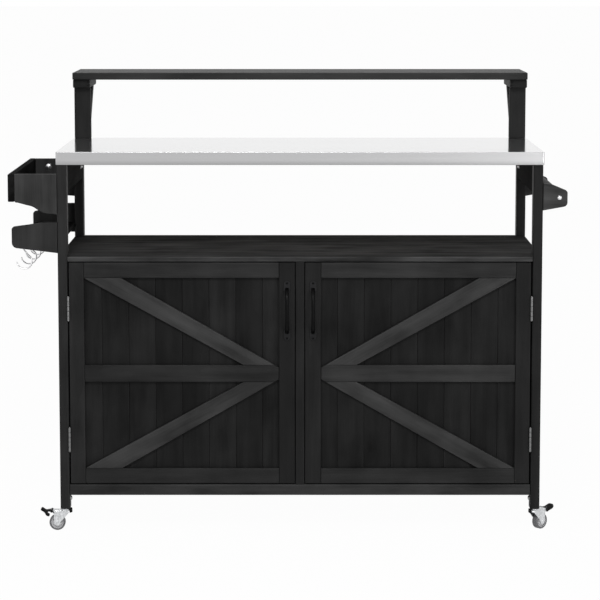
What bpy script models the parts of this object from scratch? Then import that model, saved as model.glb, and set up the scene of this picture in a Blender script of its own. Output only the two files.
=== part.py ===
"""Serving cart: a wooden cabinet on casters with a steel worktop, two braced plank doors, an upper shelf
at the back, a spice rack and hooks at the left end and a towel rail at the right end.

Cart coordinates: X from the cart's centre line to the right, Y from the front face of the legs to the
back, Z up from the floor. The whole cart hangs under one empty, which puts the centre of its outer box
at the world's origin.
"""

import math

import bmesh
import bpy
from mathutils import Vector

MM = 0.001

# Clearances
FIT = 0.3 * MM

# Overall frame
CART_WIDTH = 1200 * MM
CART_DEPTH = 500 * MM
POST_WIDTH = 24 * MM
POST_DEPTH = 38 * MM
CASTER_HEIGHT = 56.5 * MM

# Worktop
WORKTOP_HEIGHT = 953 * MM
WORKTOP_EDGE = 32 * MM
WORKTOP_OVERHANG = 2 * MM
STEEL_SHEET = 1 * MM
STEEL_HEM = 10 * MM
APRON_HEIGHT = 73 * MM
APRON_THICKNESS = 20 * MM
APRON_SETBACK = 2 * MM

# Cabinet
CABINET_TOP_HEIGHT = 693 * MM
CABINET_TOP_THICKNESS = 12 * MM
CABINET_TOP_SETBACK = 10 * MM
CABINET_TOP_BOARDS = 4
CABINET_UNDERSIDE = 92 * MM
BOTTOM_RAIL_HEIGHT = 27.5 * MM
BOTTOM_RAIL_THICKNESS = 20 * MM
SIDE_THICKNESS = 12 * MM
BACK_THICKNESS = 8 * MM
BACK_SETBACK = 12 * MM
FLOOR_THICKNESS = 12 * MM
CENTRE_POST_WIDTH = 22 * MM
CENTRE_POST_DEPTH = 20 * MM
BOARD_GROOVE_WIDTH = 2 * MM
BOARD_GROOVE_DEPTH = 1 * MM

# Doors
DOOR_HINGE_GAP = 3 * MM
DOOR_LATCH_GAP = 1.4 * MM
DOOR_TOP_GAP = 2.3 * MM
DOOR_BOTTOM_GAP = 2.5 * MM
FRAME_THICKNESS = 10.7 * MM
PLANK_THICKNESS = 9 * MM
PLANK_PITCH = 66.5 * MM
PLANK_SEAMS = 7
PLANK_GROOVE_WIDTH = 3 * MM
PLANK_GROOVE_DEPTH = 1.5 * MM
HINGE_STILE = 37.3 * MM
LATCH_STILE = 39.8 * MM
DOOR_RAIL = 38.5 * MM
MIDDLE_RAIL = 42.3 * MM
BRACE_WIDTH = 42.6 * MM
BRACE_FOOT = 88 * MM

# Door pulls
PULL_LENGTH = 149 * MM
PULL_BELOW_DOOR_TOP = 45.7 * MM
PULL_PLATE_WIDTH = 17 * MM
PULL_PLATE_LENGTH = 28 * MM
PULL_PLATE_THICKNESS = 2.5 * MM
PULL_REACH = 27 * MM
PULL_GRIP_WIDTH = 11 * MM
PULL_GRIP_THICKNESS = 7 * MM
PULL_END_TAPER = 0.85

# Butt hinges
HINGE_LENGTH = 61 * MM
HINGE_KNUCKLES = 5
HINGE_KNUCKLE_RADIUS = 3.2 * MM
HINGE_PIN_RADIUS = 1.5 * MM
HINGE_LEAF_THICKNESS = 1 * MM
HINGE_LEAF_DEPTH = 18 * MM
UPPER_HINGE_BELOW_DOOR_TOP = 84.7 * MM
LOWER_HINGE_ABOVE_DOOR_BOTTOM = 81.5 * MM

# Magnet catches
CATCH_LENGTH = 40 * MM
CATCH_DEPTH = 15 * MM
CATCH_HEIGHT = 16 * MM
CATCH_FROM_CENTRE = 16 * MM

# Upper shelf
SHELF_RISE = 175.5 * MM
SHELF_THICKNESS = 18.5 * MM
SHELF_DEPTH = 236 * MM
SHELF_FRONT = 440 * MM
UPRIGHT_WIDTH = 44.6 * MM
UPRIGHT_DEPTH = 22 * MM
UPRIGHT_INSET = 1 * MM
ARM_HEIGHT = 22 * MM
ARM_FRONT_SETBACK = 15 * MM
ARM_BACK_SETBACK = 19 * MM
STRUT_THICKNESS = 22 * MM
STRUT_RISE = 94 * MM

# Spice rack and hooks
RACK_BOARD = 16 * MM
RACK_REACH = 121 * MM
RACK_BELOW_WORKTOP = 55 * MM
RACK_FASCIA_HEIGHT = 68.5 * MM
RACK_ROOT_HEIGHT = 100 * MM
RACK_LOWER_CURVE = ((0.76, 0.22), (0.58, 0.38), (0.44, 0.66), (0.28, 0.90))
RACK_TRAY_THICKNESS = 12 * MM
RACK_WALL_ABOVE_TRAY = 60 * MM
LOWER_RACK_REACH = 113 * MM
LOWER_RACK_GAP = 19 * MM
LOWER_RACK_ROOT_HEIGHT = 77 * MM
LOWER_RACK_END_HEIGHT = 54 * MM
LOWER_RACK_END_DROP = 11 * MM
LOWER_RACK_UPPER_CURVE = ((0.36, 0.90), (0.60, 0.45))
LOWER_RACK_UPPER_CORNER = 8 * MM
LOWER_RACK_LOWER_CORNER = 14 * MM
LOWER_RACK_REAR_DROP = 10 * MM
LOWER_RACK_BOARD_LIFT = 2 * MM
HOOK_COUNT = 5
HOOK_SPACING = 100 * MM
HOOK_WIRE_RADIUS = 2.1 * MM
HOOK_BOWL_RADIUS = 19 * MM
HOOK_DROP = 55.5 * MM
HOOK_FROM_POST = 90.6 * MM
HOOK_STRIP_THICKNESS = 3 * MM
HOOK_STRIP_WIDTH = 14 * MM
HOOK_BOWL_SHIFT = 3 * MM
HOOK_SHANK = ((0.0, -4 * MM), (3 * MM, -9 * MM), (12 * MM, -20 * MM))

# Towel rail
TOWEL_BRACKET_THICKNESS = 16 * MM
TOWEL_REACH = 60.5 * MM
TOWEL_BELOW_WORKTOP = 77 * MM
TOWEL_ROOT_HEIGHT = 68 * MM
TOWEL_SHOULDER = (22 * MM, 3.5 * MM)
TOWEL_END_HEIGHT = 42 * MM
TOWEL_END_DROP = 17 * MM
TOWEL_UPPER_CORNER = 8 * MM
TOWEL_LOWER_CORNER = 11 * MM
TOWEL_REAR_DROP = 10 * MM
TOWEL_BAR_RADIUS = 13.5 * MM
TOWEL_BAR_FROM_POST = 40.7 * MM
TOWEL_BAR_ABOVE_BRACKET = 31.5 * MM

# Casters
WHEEL_RADIUS = 20 * MM
WHEEL_WIDTH = 17 * MM
WHEEL_BEVEL = 3 * MM
WHEEL_HUB_RADIUS = 8 * MM
WHEEL_HUB_RECESS = 1.5 * MM
WHEEL_RIM_WIDTH = 2 * MM
AXLE_RADIUS = 3 * MM
CASTER_TRAIL = 21.4 * MM
CHEEK_THICKNESS = 1.8 * MM
CHEEK_CLEARANCE = 0.5 * MM
CHEEK_BOSS_RADIUS = 7.5 * MM
CHEEK_FRONT = 10.8 * MM
CHEEK_BACK = 30 * MM
EAR_RADIUS = 4 * MM
CROWN_BOTTOM = 46 * MM
CROWN_THICKNESS = 6 * MM
CROWN_FRONT = 15.4 * MM
CROWN_BACK = 32 * MM
RACE_RADIUS = 11.5 * MM
STEM_RADIUS = 5 * MM
STEM_LENGTH = 28 * MM
STEM_BORE_EXTRA_DEPTH = 2 * MM
PEDAL_WIDTH = 14 * MM
PEDAL_PIVOT_HEIGHT = 49.5 * MM
PEDAL_PIVOT_RADIUS = 3 * MM
PEDAL_PIN_RADIUS = 1.5 * MM
PEDAL_ARM = ((0.0, 0.0), (7 * MM, 0.0), (14 * MM, -1 * MM), (21 * MM, 1.5 * MM), (27 * MM, 5 * MM))
PEDAL_ARM_WIDTHS = (5 * MM, 3.4 * MM, 3.2 * MM, 4.5 * MM, 6.5 * MM)
PEDAL_SHOE = (
    (27 * MM, 5 * MM), (20 * MM, 0.5 * MM), (15 * MM, -4 * MM), (12 * MM, -10 * MM), (6 * MM, -13 * MM),
)
PEDAL_SHOE_WIDTHS = (6.5 * MM, 6 * MM, 5.5 * MM, 5 * MM, 4.6 * MM)
CASTERS = {
    "front_left": (-1, 0, 180),
    "front_right": (1, 0, 42),
    "rear_left": (-1, 1, 150),
    "rear_right": (1, 1, 20),
}
BRAKED = ("front_left", "front_right")

# Worked out from the sizes above
POST_INNER = CART_WIDTH / 2 - POST_WIDTH
WORKTOP_UNDERSIDE = WORKTOP_HEIGHT - WORKTOP_EDGE
CABINET_TOP_UNDERSIDE = CABINET_TOP_HEIGHT - CABINET_TOP_THICKNESS
CABINET_TOP_DEPTH = CART_DEPTH - CABINET_TOP_SETBACK
BOTTOM_RAIL_TOP = CABINET_UNDERSIDE + BOTTOM_RAIL_HEIGHT
FLOOR_TOP = BOTTOM_RAIL_TOP
DOOR_TOP = CABINET_TOP_UNDERSIDE - DOOR_TOP_GAP
DOOR_BOTTOM = BOTTOM_RAIL_TOP + DOOR_BOTTOM_GAP
DOOR_THICKNESS = FRAME_THICKNESS + FIT + PLANK_THICKNESS
DOOR_HINGE_EDGE = POST_INNER - DOOR_HINGE_GAP
DOOR_LATCH_EDGE = CENTRE_POST_WIDTH / 2 + DOOR_LATCH_GAP
DOOR_WIDTH = DOOR_HINGE_EDGE - DOOR_LATCH_EDGE
DOOR_MIDDLE = (DOOR_TOP + DOOR_BOTTOM) / 2
HINGE_HEIGHTS = {
    "upper": DOOR_TOP - UPPER_HINGE_BELOW_DOOR_TOP - HINGE_LENGTH / 2,
    "lower": DOOR_BOTTOM + LOWER_HINGE_ABOVE_DOOR_BOTTOM + HINGE_LENGTH / 2,
}
PULL_CENTRE_HEIGHT = DOOR_TOP - PULL_BELOW_DOOR_TOP - PULL_LENGTH / 2
HINGE_AXIS_X = POST_INNER - DOOR_HINGE_GAP / 2
HINGE_AXIS_Y = -HINGE_KNUCKLE_RADIUS - FIT
BACK_FACE = CART_DEPTH - BACK_SETBACK - BACK_THICKNESS
SHELF_BACK = SHELF_FRONT + SHELF_DEPTH
SHELF_HEIGHT = WORKTOP_HEIGHT + SHELF_RISE
SHELF_UNDERSIDE = SHELF_HEIGHT - SHELF_THICKNESS
ARM_BOTTOM = SHELF_UNDERSIDE - FIT - ARM_HEIGHT
UPRIGHT_FRONT = CART_DEPTH - UPRIGHT_DEPTH
RACK_TOP = WORKTOP_HEIGHT - RACK_BELOW_WORKTOP
RACK_ROOT_BOTTOM = RACK_TOP - RACK_ROOT_HEIGHT
RACK_TRAY_BOTTOM = RACK_TOP - RACK_WALL_ABOVE_TRAY - RACK_TRAY_THICKNESS
LOWER_RACK_ROOT_TOP = RACK_ROOT_BOTTOM - LOWER_RACK_GAP
LOWER_RACK_ROOT_BOTTOM = LOWER_RACK_ROOT_TOP - LOWER_RACK_ROOT_HEIGHT
LOWER_RACK_END_TOP = LOWER_RACK_ROOT_TOP - LOWER_RACK_END_DROP
LOWER_RACK_END_BOTTOM = LOWER_RACK_END_TOP - LOWER_RACK_END_HEIGHT
LOWER_RACK_BOARD_BOTTOM = LOWER_RACK_END_BOTTOM + LOWER_RACK_BOARD_LIFT
TOWEL_ROOT_TOP = WORKTOP_HEIGHT - TOWEL_BELOW_WORKTOP
TOWEL_ROOT_BOTTOM = TOWEL_ROOT_TOP - TOWEL_ROOT_HEIGHT
TOWEL_END_TOP = TOWEL_ROOT_TOP - TOWEL_END_DROP
TOWEL_END_BOTTOM = TOWEL_END_TOP - TOWEL_END_HEIGHT
TOWEL_BAR_HEIGHT = TOWEL_ROOT_BOTTOM + TOWEL_BAR_ABOVE_BRACKET
CHEEK_INNER = WHEEL_WIDTH / 2 + CHEEK_CLEARANCE
CHEEK_OUTER = CHEEK_INNER + CHEEK_THICKNESS
CROWN_TOP = CROWN_BOTTOM + CROWN_THICKNESS
PEDAL_PIVOT_FROM_STEM = CROWN_BACK + FIT + PEDAL_PIVOT_RADIUS
LEFT_REACH = CART_WIDTH / 2 + RACK_REACH
RIGHT_REACH = CART_WIDTH / 2 + TOWEL_REACH
CENTRE_X = (RIGHT_REACH - LEFT_REACH) / 2
CENTRE_Y = (SHELF_BACK - PULL_REACH) / 2

ROUND_SIDES = 28
SMALL_ROUND_SIDES = 16
WIRE_SIDES = 8
CORNER_STEPS = 6
ARC_STEPS = 12
PULL_STEPS = 16


def clear_scene():
    for item in list(bpy.data.objects):
        bpy.data.objects.remove(item, do_unlink=True)


def material(name, colour, roughness, metallic=0.0):
    """A plain Principled material with a linear RGB colour."""
    made = bpy.data.materials.new(name)
    made.use_nodes = True
    shader = made.node_tree.nodes["Principled BSDF"]
    shader.inputs["Base Color"].default_value = (*colour, 1.0)
    shader.inputs["Roughness"].default_value = roughness
    shader.inputs["Metallic"].default_value = metallic
    return made


def empty(name, location, parent=None, turn=0.0):
    """An axis or frame that pieces are parented to, turned about Z."""
    item = bpy.data.objects.new(name, None)
    bpy.context.collection.objects.link(item)
    item.parent = parent
    item.location = location
    item.rotation_euler = (0, 0, turn)
    return item


def add_mesh(name, bm, parent, finish, location=(0, 0, 0), smooth=False):
    """Turn a bmesh into a named object with its normals pointing out."""
    bmesh.ops.recalc_face_normals(bm, faces=bm.faces)
    mesh = bpy.data.meshes.new(name)
    bm.to_mesh(mesh)
    bm.free()
    mesh.materials.append(finish)
    if smooth:
        mesh.shade_smooth()
        mesh.set_sharp_from_angle(angle=math.radians(35))
    item = bpy.data.objects.new(name, mesh)
    bpy.context.collection.objects.link(item)
    item.parent = parent
    item.location = location
    return item


def box_mesh(x, y, z):
    """A box between pairs of limits along X, Y and Z."""
    bm = bmesh.new()
    bmesh.ops.create_cube(bm, size=1.0)
    for vert in bm.verts:
        vert.co = Vector((
            x[0] if vert.co.x < 0 else x[1],
            y[0] if vert.co.y < 0 else y[1],
            z[0] if vert.co.z < 0 else z[1],
        ))
    return bm


def box(name, parent, finish, x, y, z):
    return add_mesh(name, box_mesh(x, y, z), parent, finish)


AXES = {
    "x": lambda across, up, along: (along, across, up),
    "y": lambda across, up, along: (across, along, up),
    "z": lambda across, up, along: (across, up, along),
}


def prism_mesh(outline, axis, start, end):
    """A flat outline pushed along an axis. Along X it reads (Y, Z), along Y (X, Z), along Z (X, Y)."""
    bm = bmesh.new()
    place = AXES[axis]
    base = [bm.verts.new(place(across, up, start)) for across, up in outline]
    face = bm.faces.new(base)
    pushed = bmesh.ops.extrude_face_region(bm, geom=[face])
    shift = Vector(place(0, 0, end - start))
    for item in pushed["geom"]:
        if isinstance(item, bmesh.types.BMVert):
            item.co += shift
    return bm


def prism(name, parent, finish, outline, axis, start, end, smooth=False):
    return add_mesh(name, prism_mesh(outline, axis, start, end), parent, finish, smooth=smooth)


def turned_mesh(profile, sides, axis="z", centre=(0, 0, 0)):
    """A solid or a ring turned from a closed profile of (radius, height) points."""
    bm = bmesh.new()
    place = AXES[axis]
    rings = []
    for radius, height in profile:
        if radius == 0:
            rings.append([bm.verts.new(Vector(place(0, 0, height)) + Vector(centre))])
            continue
        ring = []
        for step in range(sides):
            angle = 2 * math.pi * step / sides
            point = place(radius * math.cos(angle), radius * math.sin(angle), height)
            ring.append(bm.verts.new(Vector(point) + Vector(centre)))
        rings.append(ring)
    for first, second in zip(rings, rings[1:] + rings[:1]):
        join_rings(bm, first, second)
    return bm


def join_rings(bm, first, second):
    """Faces between two rings of points, either of which may be a single point."""
    if len(first) == 1 and len(second) == 1:
        return
    sides = max(len(first), len(second))
    for step in range(sides):
        after = (step + 1) % sides
        if len(first) == 1:
            bm.faces.new((first[0], second[after], second[step]))
        elif len(second) == 1:
            bm.faces.new((first[step], first[after], second[0]))
        else:
            bm.faces.new((first[step], first[after], second[after], second[step]))


def cylinder_mesh(radius, start, end, sides, axis="z", centre=(0, 0, 0)):
    return turned_mesh([(0, start), (radius, start), (radius, end), (0, end)], sides, axis, centre)


def swept_mesh(rings):
    """A closed tube through rings of points, with a flat cap at each end."""
    bm = bmesh.new()
    loops = [[bm.verts.new(point) for point in ring] for ring in rings]
    for first, second in zip(loops, loops[1:]):
        join_rings(bm, first, second)
    bm.faces.new(loops[0])
    bm.faces.new(loops[-1])
    return bm


def boolean(item, operation, bm, label):
    """Cut a shape out of an object or join one onto it, with a hidden helper object."""
    helper = add_mesh(f"{item.name}_{label}", bm, item.parent, item.data.materials[0])
    helper.location = item.location
    helper.hide_render = True
    helper.display_type = "WIRE"
    step = item.modifiers.new(label, "BOOLEAN")
    step.operation = operation
    step.solver = "EXACT"
    step.object = helper


def arc(centre, radius, start, end, steps):
    """Points on an arc from one angle to another, in degrees."""
    points = []
    for step in range(steps + 1):
        angle = math.radians(start + (end - start) * step / steps)
        points.append((centre[0] + radius * math.cos(angle), centre[1] + radius * math.sin(angle)))
    return points


def mirrored(outline, side):
    """The same outline on the left (side -1) or the right (side 1) of the cart."""
    return [(side * across, up) for across, up in outline]


def side_range(side, inner, outer):
    """A pair of X limits on one side of the cart, from distances to its centre line."""
    return tuple(sorted((side * inner, side * outer)))


def build_legs(root, wood):
    """Four posts. Each has a bore from below for its caster's stem."""
    for name, (side, rear, _) in CASTERS.items():
        front = CART_DEPTH - POST_DEPTH if rear else 0.0
        leg = box(
            f"{name}_leg", root, wood,
            side_range(side, POST_INNER, CART_WIDTH / 2),
            (front, front + POST_DEPTH),
            (CASTER_HEIGHT, WORKTOP_UNDERSIDE - FIT),
        )
        bore = cylinder_mesh(
            STEM_RADIUS + FIT, CASTER_HEIGHT - STEM_LENGTH,
            CASTER_HEIGHT + STEM_LENGTH + STEM_BORE_EXTRA_DEPTH, SMALL_ROUND_SIDES,
            centre=(*caster_place(side, rear), 0),
        )
        boolean(leg, "DIFFERENCE", bore, "stem_bore")


def caster_place(side, rear):
    """Where a caster's stem stands: the middle of its leg."""
    y = CART_DEPTH - POST_DEPTH / 2 if rear else POST_DEPTH / 2
    return side * (POST_INNER + POST_WIDTH / 2), y


def build_worktop(root, steel, board):
    """A folded steel sheet with a hem all round, and the board that it wraps."""
    x = CART_WIDTH / 2 + WORKTOP_OVERHANG
    front = -WORKTOP_OVERHANG
    back = CART_DEPTH
    top = box("steel_worktop", root, steel, (-x, x), (front, back), (WORKTOP_UNDERSIDE, WORKTOP_HEIGHT))
    sheet = STEEL_SHEET
    inside = box_mesh(
        (-x + sheet, x - sheet), (front + sheet, back - sheet),
        (WORKTOP_UNDERSIDE + sheet, WORKTOP_HEIGHT - sheet),
    )
    boolean(top, "DIFFERENCE", inside, "inside")
    hem = box_mesh(
        (-x + STEEL_HEM, x - STEEL_HEM), (front + STEEL_HEM, back - STEEL_HEM),
        (WORKTOP_UNDERSIDE - sheet, WORKTOP_UNDERSIDE + 2 * sheet),
    )
    boolean(top, "DIFFERENCE", hem, "hem_opening")
    wall = sheet + FIT
    box(
        "worktop_board", root, board, (-x + wall, x - wall), (front + wall, back - wall),
        (WORKTOP_UNDERSIDE + wall, WORKTOP_HEIGHT - wall),
    )


def build_aprons(root, wood):
    """A board under each end of the worktop, between the front and rear legs."""
    for side, name in ((-1, "left_apron"), (1, "right_apron")):
        outer = CART_WIDTH / 2 - APRON_SETBACK
        box(
            name, root, wood, side_range(side, outer - APRON_THICKNESS, outer),
            (POST_DEPTH + FIT, CART_DEPTH - POST_DEPTH - FIT),
            (WORKTOP_UNDERSIDE - FIT - APRON_HEIGHT, WORKTOP_UNDERSIDE - FIT),
        )


def grooved_line(length, seams, groove_width, groove_depth, surface, inward):
    """Points along a surface with a V groove at each seam. inward is the way into the wood, 1 or -1."""
    points = [(0.0, surface)]
    for seam in seams:
        points.append((seam - groove_width / 2, surface))
        points.append((seam, surface + inward * groove_depth))
        points.append((seam + groove_width / 2, surface))
    points.append((length, surface))
    return points


def build_cabinet_top(root, wood):
    """Boards side by side over the cabinet, notched round the four legs."""
    pitch = CABINET_TOP_DEPTH / CABINET_TOP_BOARDS
    seams = [pitch * count for count in range(1, CABINET_TOP_BOARDS)]
    upper = grooved_line(
        CABINET_TOP_DEPTH, seams, BOARD_GROOVE_WIDTH, BOARD_GROOVE_DEPTH, CABINET_TOP_HEIGHT, -1,
    )
    outline = upper + [(CABINET_TOP_DEPTH, CABINET_TOP_UNDERSIDE), (0.0, CABINET_TOP_UNDERSIDE)]
    top = prism("cabinet_top", root, wood, outline, "x", -CART_WIDTH / 2, CART_WIDTH / 2)
    beyond = POST_WIDTH
    for name, (side, rear, _) in CASTERS.items():
        if rear:
            y = (CART_DEPTH - POST_DEPTH - FIT, CART_DEPTH + beyond)
        else:
            y = (-beyond, POST_DEPTH + FIT)
        notch = box_mesh(
            side_range(side, POST_INNER - FIT, CART_WIDTH / 2 + beyond), y,
            (CABINET_TOP_UNDERSIDE - beyond, CABINET_TOP_HEIGHT + beyond),
        )
        boolean(top, "DIFFERENCE", notch, f"{name}_notch")


def build_cabinet(root, wood, dark_wood):
    """Sides, floor, back, bottom rail and the post between the doors."""
    build_cabinet_top(root, wood)
    top = CABINET_TOP_UNDERSIDE - FIT
    for side, name in ((-1, "left_side_panel"), (1, "right_side_panel")):
        box(
            name, root, wood, side_range(side, POST_INNER, POST_INNER + SIDE_THICKNESS),
            (POST_DEPTH + FIT, CART_DEPTH - POST_DEPTH - FIT), (CABINET_UNDERSIDE, top),
        )
    inner = POST_INNER - FIT
    box(
        "bottom_rail", root, wood, (-inner, inner), (0.0, BOTTOM_RAIL_THICKNESS),
        (CABINET_UNDERSIDE, BOTTOM_RAIL_TOP),
    )
    box(
        "cabinet_floor", root, dark_wood, (-inner, inner),
        (BOTTOM_RAIL_THICKNESS + FIT, BACK_FACE - FIT), (FLOOR_TOP - FLOOR_THICKNESS, FLOOR_TOP),
    )
    box(
        "back_panel", root, dark_wood, (-inner, inner), (BACK_FACE, BACK_FACE + BACK_THICKNESS),
        (CABINET_UNDERSIDE, top),
    )
    box(
        "centre_post", root, wood, (-CENTRE_POST_WIDTH / 2, CENTRE_POST_WIDTH / 2),
        (0.0, CENTRE_POST_DEPTH), (BOTTOM_RAIL_TOP + FIT, top),
    )


def build_catches(root, metal):
    """A magnet catch behind the latch edge of each door, under the cabinet top."""
    front = DOOR_THICKNESS + FIT
    for side, name in ((-1, "left_catch"), (1, "right_catch")):
        box(
            name, root, metal, side_range(side, CATCH_FROM_CENTRE, CATCH_FROM_CENTRE + CATCH_LENGTH),
            (front, front + CATCH_DEPTH),
            (CABINET_TOP_UNDERSIDE - FIT - CATCH_HEIGHT, CABINET_TOP_UNDERSIDE - FIT),
        )


def ring_mesh(outer, inner, start, end):
    """A rectangular frame in the XZ plane. Each rectangle is (left, right, bottom, top)."""
    bm = bmesh.new()
    loops = []
    for y in (start, end):
        for left, right, bottom, top in (outer, inner):
            corners = ((left, bottom), (right, bottom), (right, top), (left, top))
            loops.append([bm.verts.new((x, y, z)) for x, z in corners])
    front_outer, front_inner, back_outer, back_inner = loops
    join_rings(bm, front_outer, front_inner)
    join_rings(bm, front_inner, back_inner)
    join_rings(bm, back_inner, back_outer)
    join_rings(bm, back_outer, front_outer)
    return bm


def brace_outline(width, half_height):
    """The middle rail with its two braces, from the hinge side of the frame's opening to the latch side.

    Heights are from the middle of the door. Each brace starts in the opening's corner on the hinge
    side and runs down, or up, to the middle rail.
    """
    half_rail = MIDDLE_RAIL / 2
    slope = (half_height - half_rail) / (width - BRACE_FOOT)
    rise = BRACE_WIDTH * math.hypot(1, slope)
    upper = [
        (0.0, half_rail),
        (width - BRACE_FOOT, half_rail),
        (0.0, half_height),
        (rise / slope, half_height),
    ]
    end_height = half_height + rise - slope * width
    if end_height < half_rail:
        upper += [((half_height + rise - half_rail) / slope, half_rail), (width, half_rail)]
    else:
        upper.append((width, end_height))
    lower = [(across, -up) for across, up in reversed(upper)]
    return upper + lower


def build_door(side, root, wood, dark_wood):
    """One door on its axis: planks, the frame in front of them and the braces inside the frame.

    Inside the door, X and Y are measured from the hinge pin. toward is the way to the latch edge.
    """
    label = "left" if side < 0 else "right"
    toward = -side
    axis = empty(f"{label}_door_axis", (side * HINGE_AXIS_X, HINGE_AXIS_Y, 0), root)
    face = -HINGE_AXIS_Y
    hinge_edge = HINGE_AXIS_X - DOOR_HINGE_EDGE
    latch_edge = hinge_edge + DOOR_WIDTH
    window_start = hinge_edge + HINGE_STILE
    window_end = latch_edge - LATCH_STILE
    window_bottom = DOOR_BOTTOM + DOOR_RAIL
    window_top = DOOR_TOP - DOOR_RAIL
    outer = (*side_range(toward, hinge_edge, latch_edge), DOOR_BOTTOM, DOOR_TOP)
    window = (*side_range(toward, window_start, window_end), window_bottom, window_top)
    frame = ring_mesh(outer, window, face, face + FRAME_THICKNESS)
    add_mesh(f"{label}_door_frame", frame, axis, wood)

    plank_front = face + FRAME_THICKNESS + FIT
    middle = DOOR_WIDTH / 2
    seams = [middle + PLANK_PITCH * (count - (PLANK_SEAMS - 1) / 2) for count in range(PLANK_SEAMS)]
    line = grooved_line(DOOR_WIDTH, seams, PLANK_GROOVE_WIDTH, PLANK_GROOVE_DEPTH, plank_front, 1)
    line += [(DOOR_WIDTH, plank_front + PLANK_THICKNESS), (0.0, plank_front + PLANK_THICKNESS)]
    outline = mirrored([(hinge_edge + across, y) for across, y in line], toward)
    prism(f"{label}_door_planks", axis, dark_wood, outline, "z", DOOR_BOTTOM, DOOR_TOP)

    width = window_end - window_start - 2 * FIT
    half_height = (window_top - window_bottom) / 2 - FIT
    braces = [
        (window_start + FIT + across, DOOR_MIDDLE + up) for across, up in brace_outline(width, half_height)
    ]
    prism(
        f"{label}_door_braces", axis, wood, mirrored(braces, toward), "y", face, face + FRAME_THICKNESS,
    )
    return axis


def rounded_plate(width, length, centre_height):
    """A plate outline in the XZ plane with round ends."""
    radius = width / 2
    straight = length / 2 - radius
    upper = arc((0, centre_height + straight), radius, 0, 180, ARC_STEPS)
    lower = arc((0, centre_height - straight), radius, 180, 360, ARC_STEPS)
    return upper + lower


def build_pull(side, axis, iron):
    """A pull with a plate at each end and a grip that bows out between them."""
    label = "left" if side < 0 else "right"
    toward = -side
    latch_middle = DOOR_LATCH_EDGE + LATCH_STILE / 2
    x = toward * (HINGE_AXIS_X - latch_middle)
    door_face = -HINGE_AXIS_Y - FIT
    plate_shift = (PULL_LENGTH - PULL_PLATE_LENGTH) / 2
    half_grip = PULL_LENGTH / 2 - PULL_PLATE_LENGTH / 2
    sunk = PULL_PLATE_THICKNESS / 2
    bow = PULL_REACH + HINGE_AXIS_Y + door_face - PULL_GRIP_THICKNESS / 2 - sunk
    rings = []
    for step in range(PULL_STEPS + 1):
        across = -1 + 2 * step / PULL_STEPS
        forward = sunk + bow * (1 - across ** 4)
        slope = math.atan2(-4 * bow * across ** 3, half_grip)
        half_thickness = PULL_GRIP_THICKNESS / 2 * (1 - PULL_END_TAPER * across ** 8)
        ring = []
        for corner in range(SMALL_ROUND_SIDES):
            angle = 2 * math.pi * corner / SMALL_ROUND_SIDES
            thick = half_thickness * math.sin(angle)
            ring.append(Vector((
                x + PULL_GRIP_WIDTH / 2 * math.cos(angle),
                door_face - forward - thick * math.cos(slope),
                PULL_CENTRE_HEIGHT + half_grip * across - thick * math.sin(slope),
            )))
        rings.append(ring)
    pull = add_mesh(f"{label}_pull", swept_mesh(rings), axis, iron, smooth=True)
    for sign, end in ((1, "upper"), (-1, "lower")):
        outline = rounded_plate(
            PULL_PLATE_WIDTH, PULL_PLATE_LENGTH, PULL_CENTRE_HEIGHT + sign * plate_shift,
        )
        outline = [(x + across, up) for across, up in outline]
        plate = prism_mesh(outline, "y", door_face - PULL_PLATE_THICKNESS, door_face)
        boolean(pull, "UNION", plate, f"{end}_plate")


def hinge_segment_heights(centre_height):
    """Bottom and top of each knuckle of a hinge, from the bottom up."""
    step = HINGE_LENGTH / HINGE_KNUCKLES
    bottom = centre_height - HINGE_LENGTH / 2
    return [(bottom + step * count, bottom + step * (count + 1)) for count in range(HINGE_KNUCKLES)]


def leaf_shape(x, heights, centre_height):
    """The flat of a leaf, with a tab that reaches each of its knuckles. X and Y are from the pin."""
    half = HINGE_LENGTH / 2
    flat_start = HINGE_KNUCKLE_RADIUS + FIT
    flat = box_mesh(
        x, (flat_start, flat_start + HINGE_LEAF_DEPTH), (centre_height - half, centre_height + half),
    )
    tab_start = (HINGE_PIN_RADIUS + HINGE_KNUCKLE_RADIUS) / 2
    tabs = [box_mesh(x, (tab_start, flat_start + HINGE_LEAF_THICKNESS), height) for height in heights]
    return flat, tabs


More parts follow.
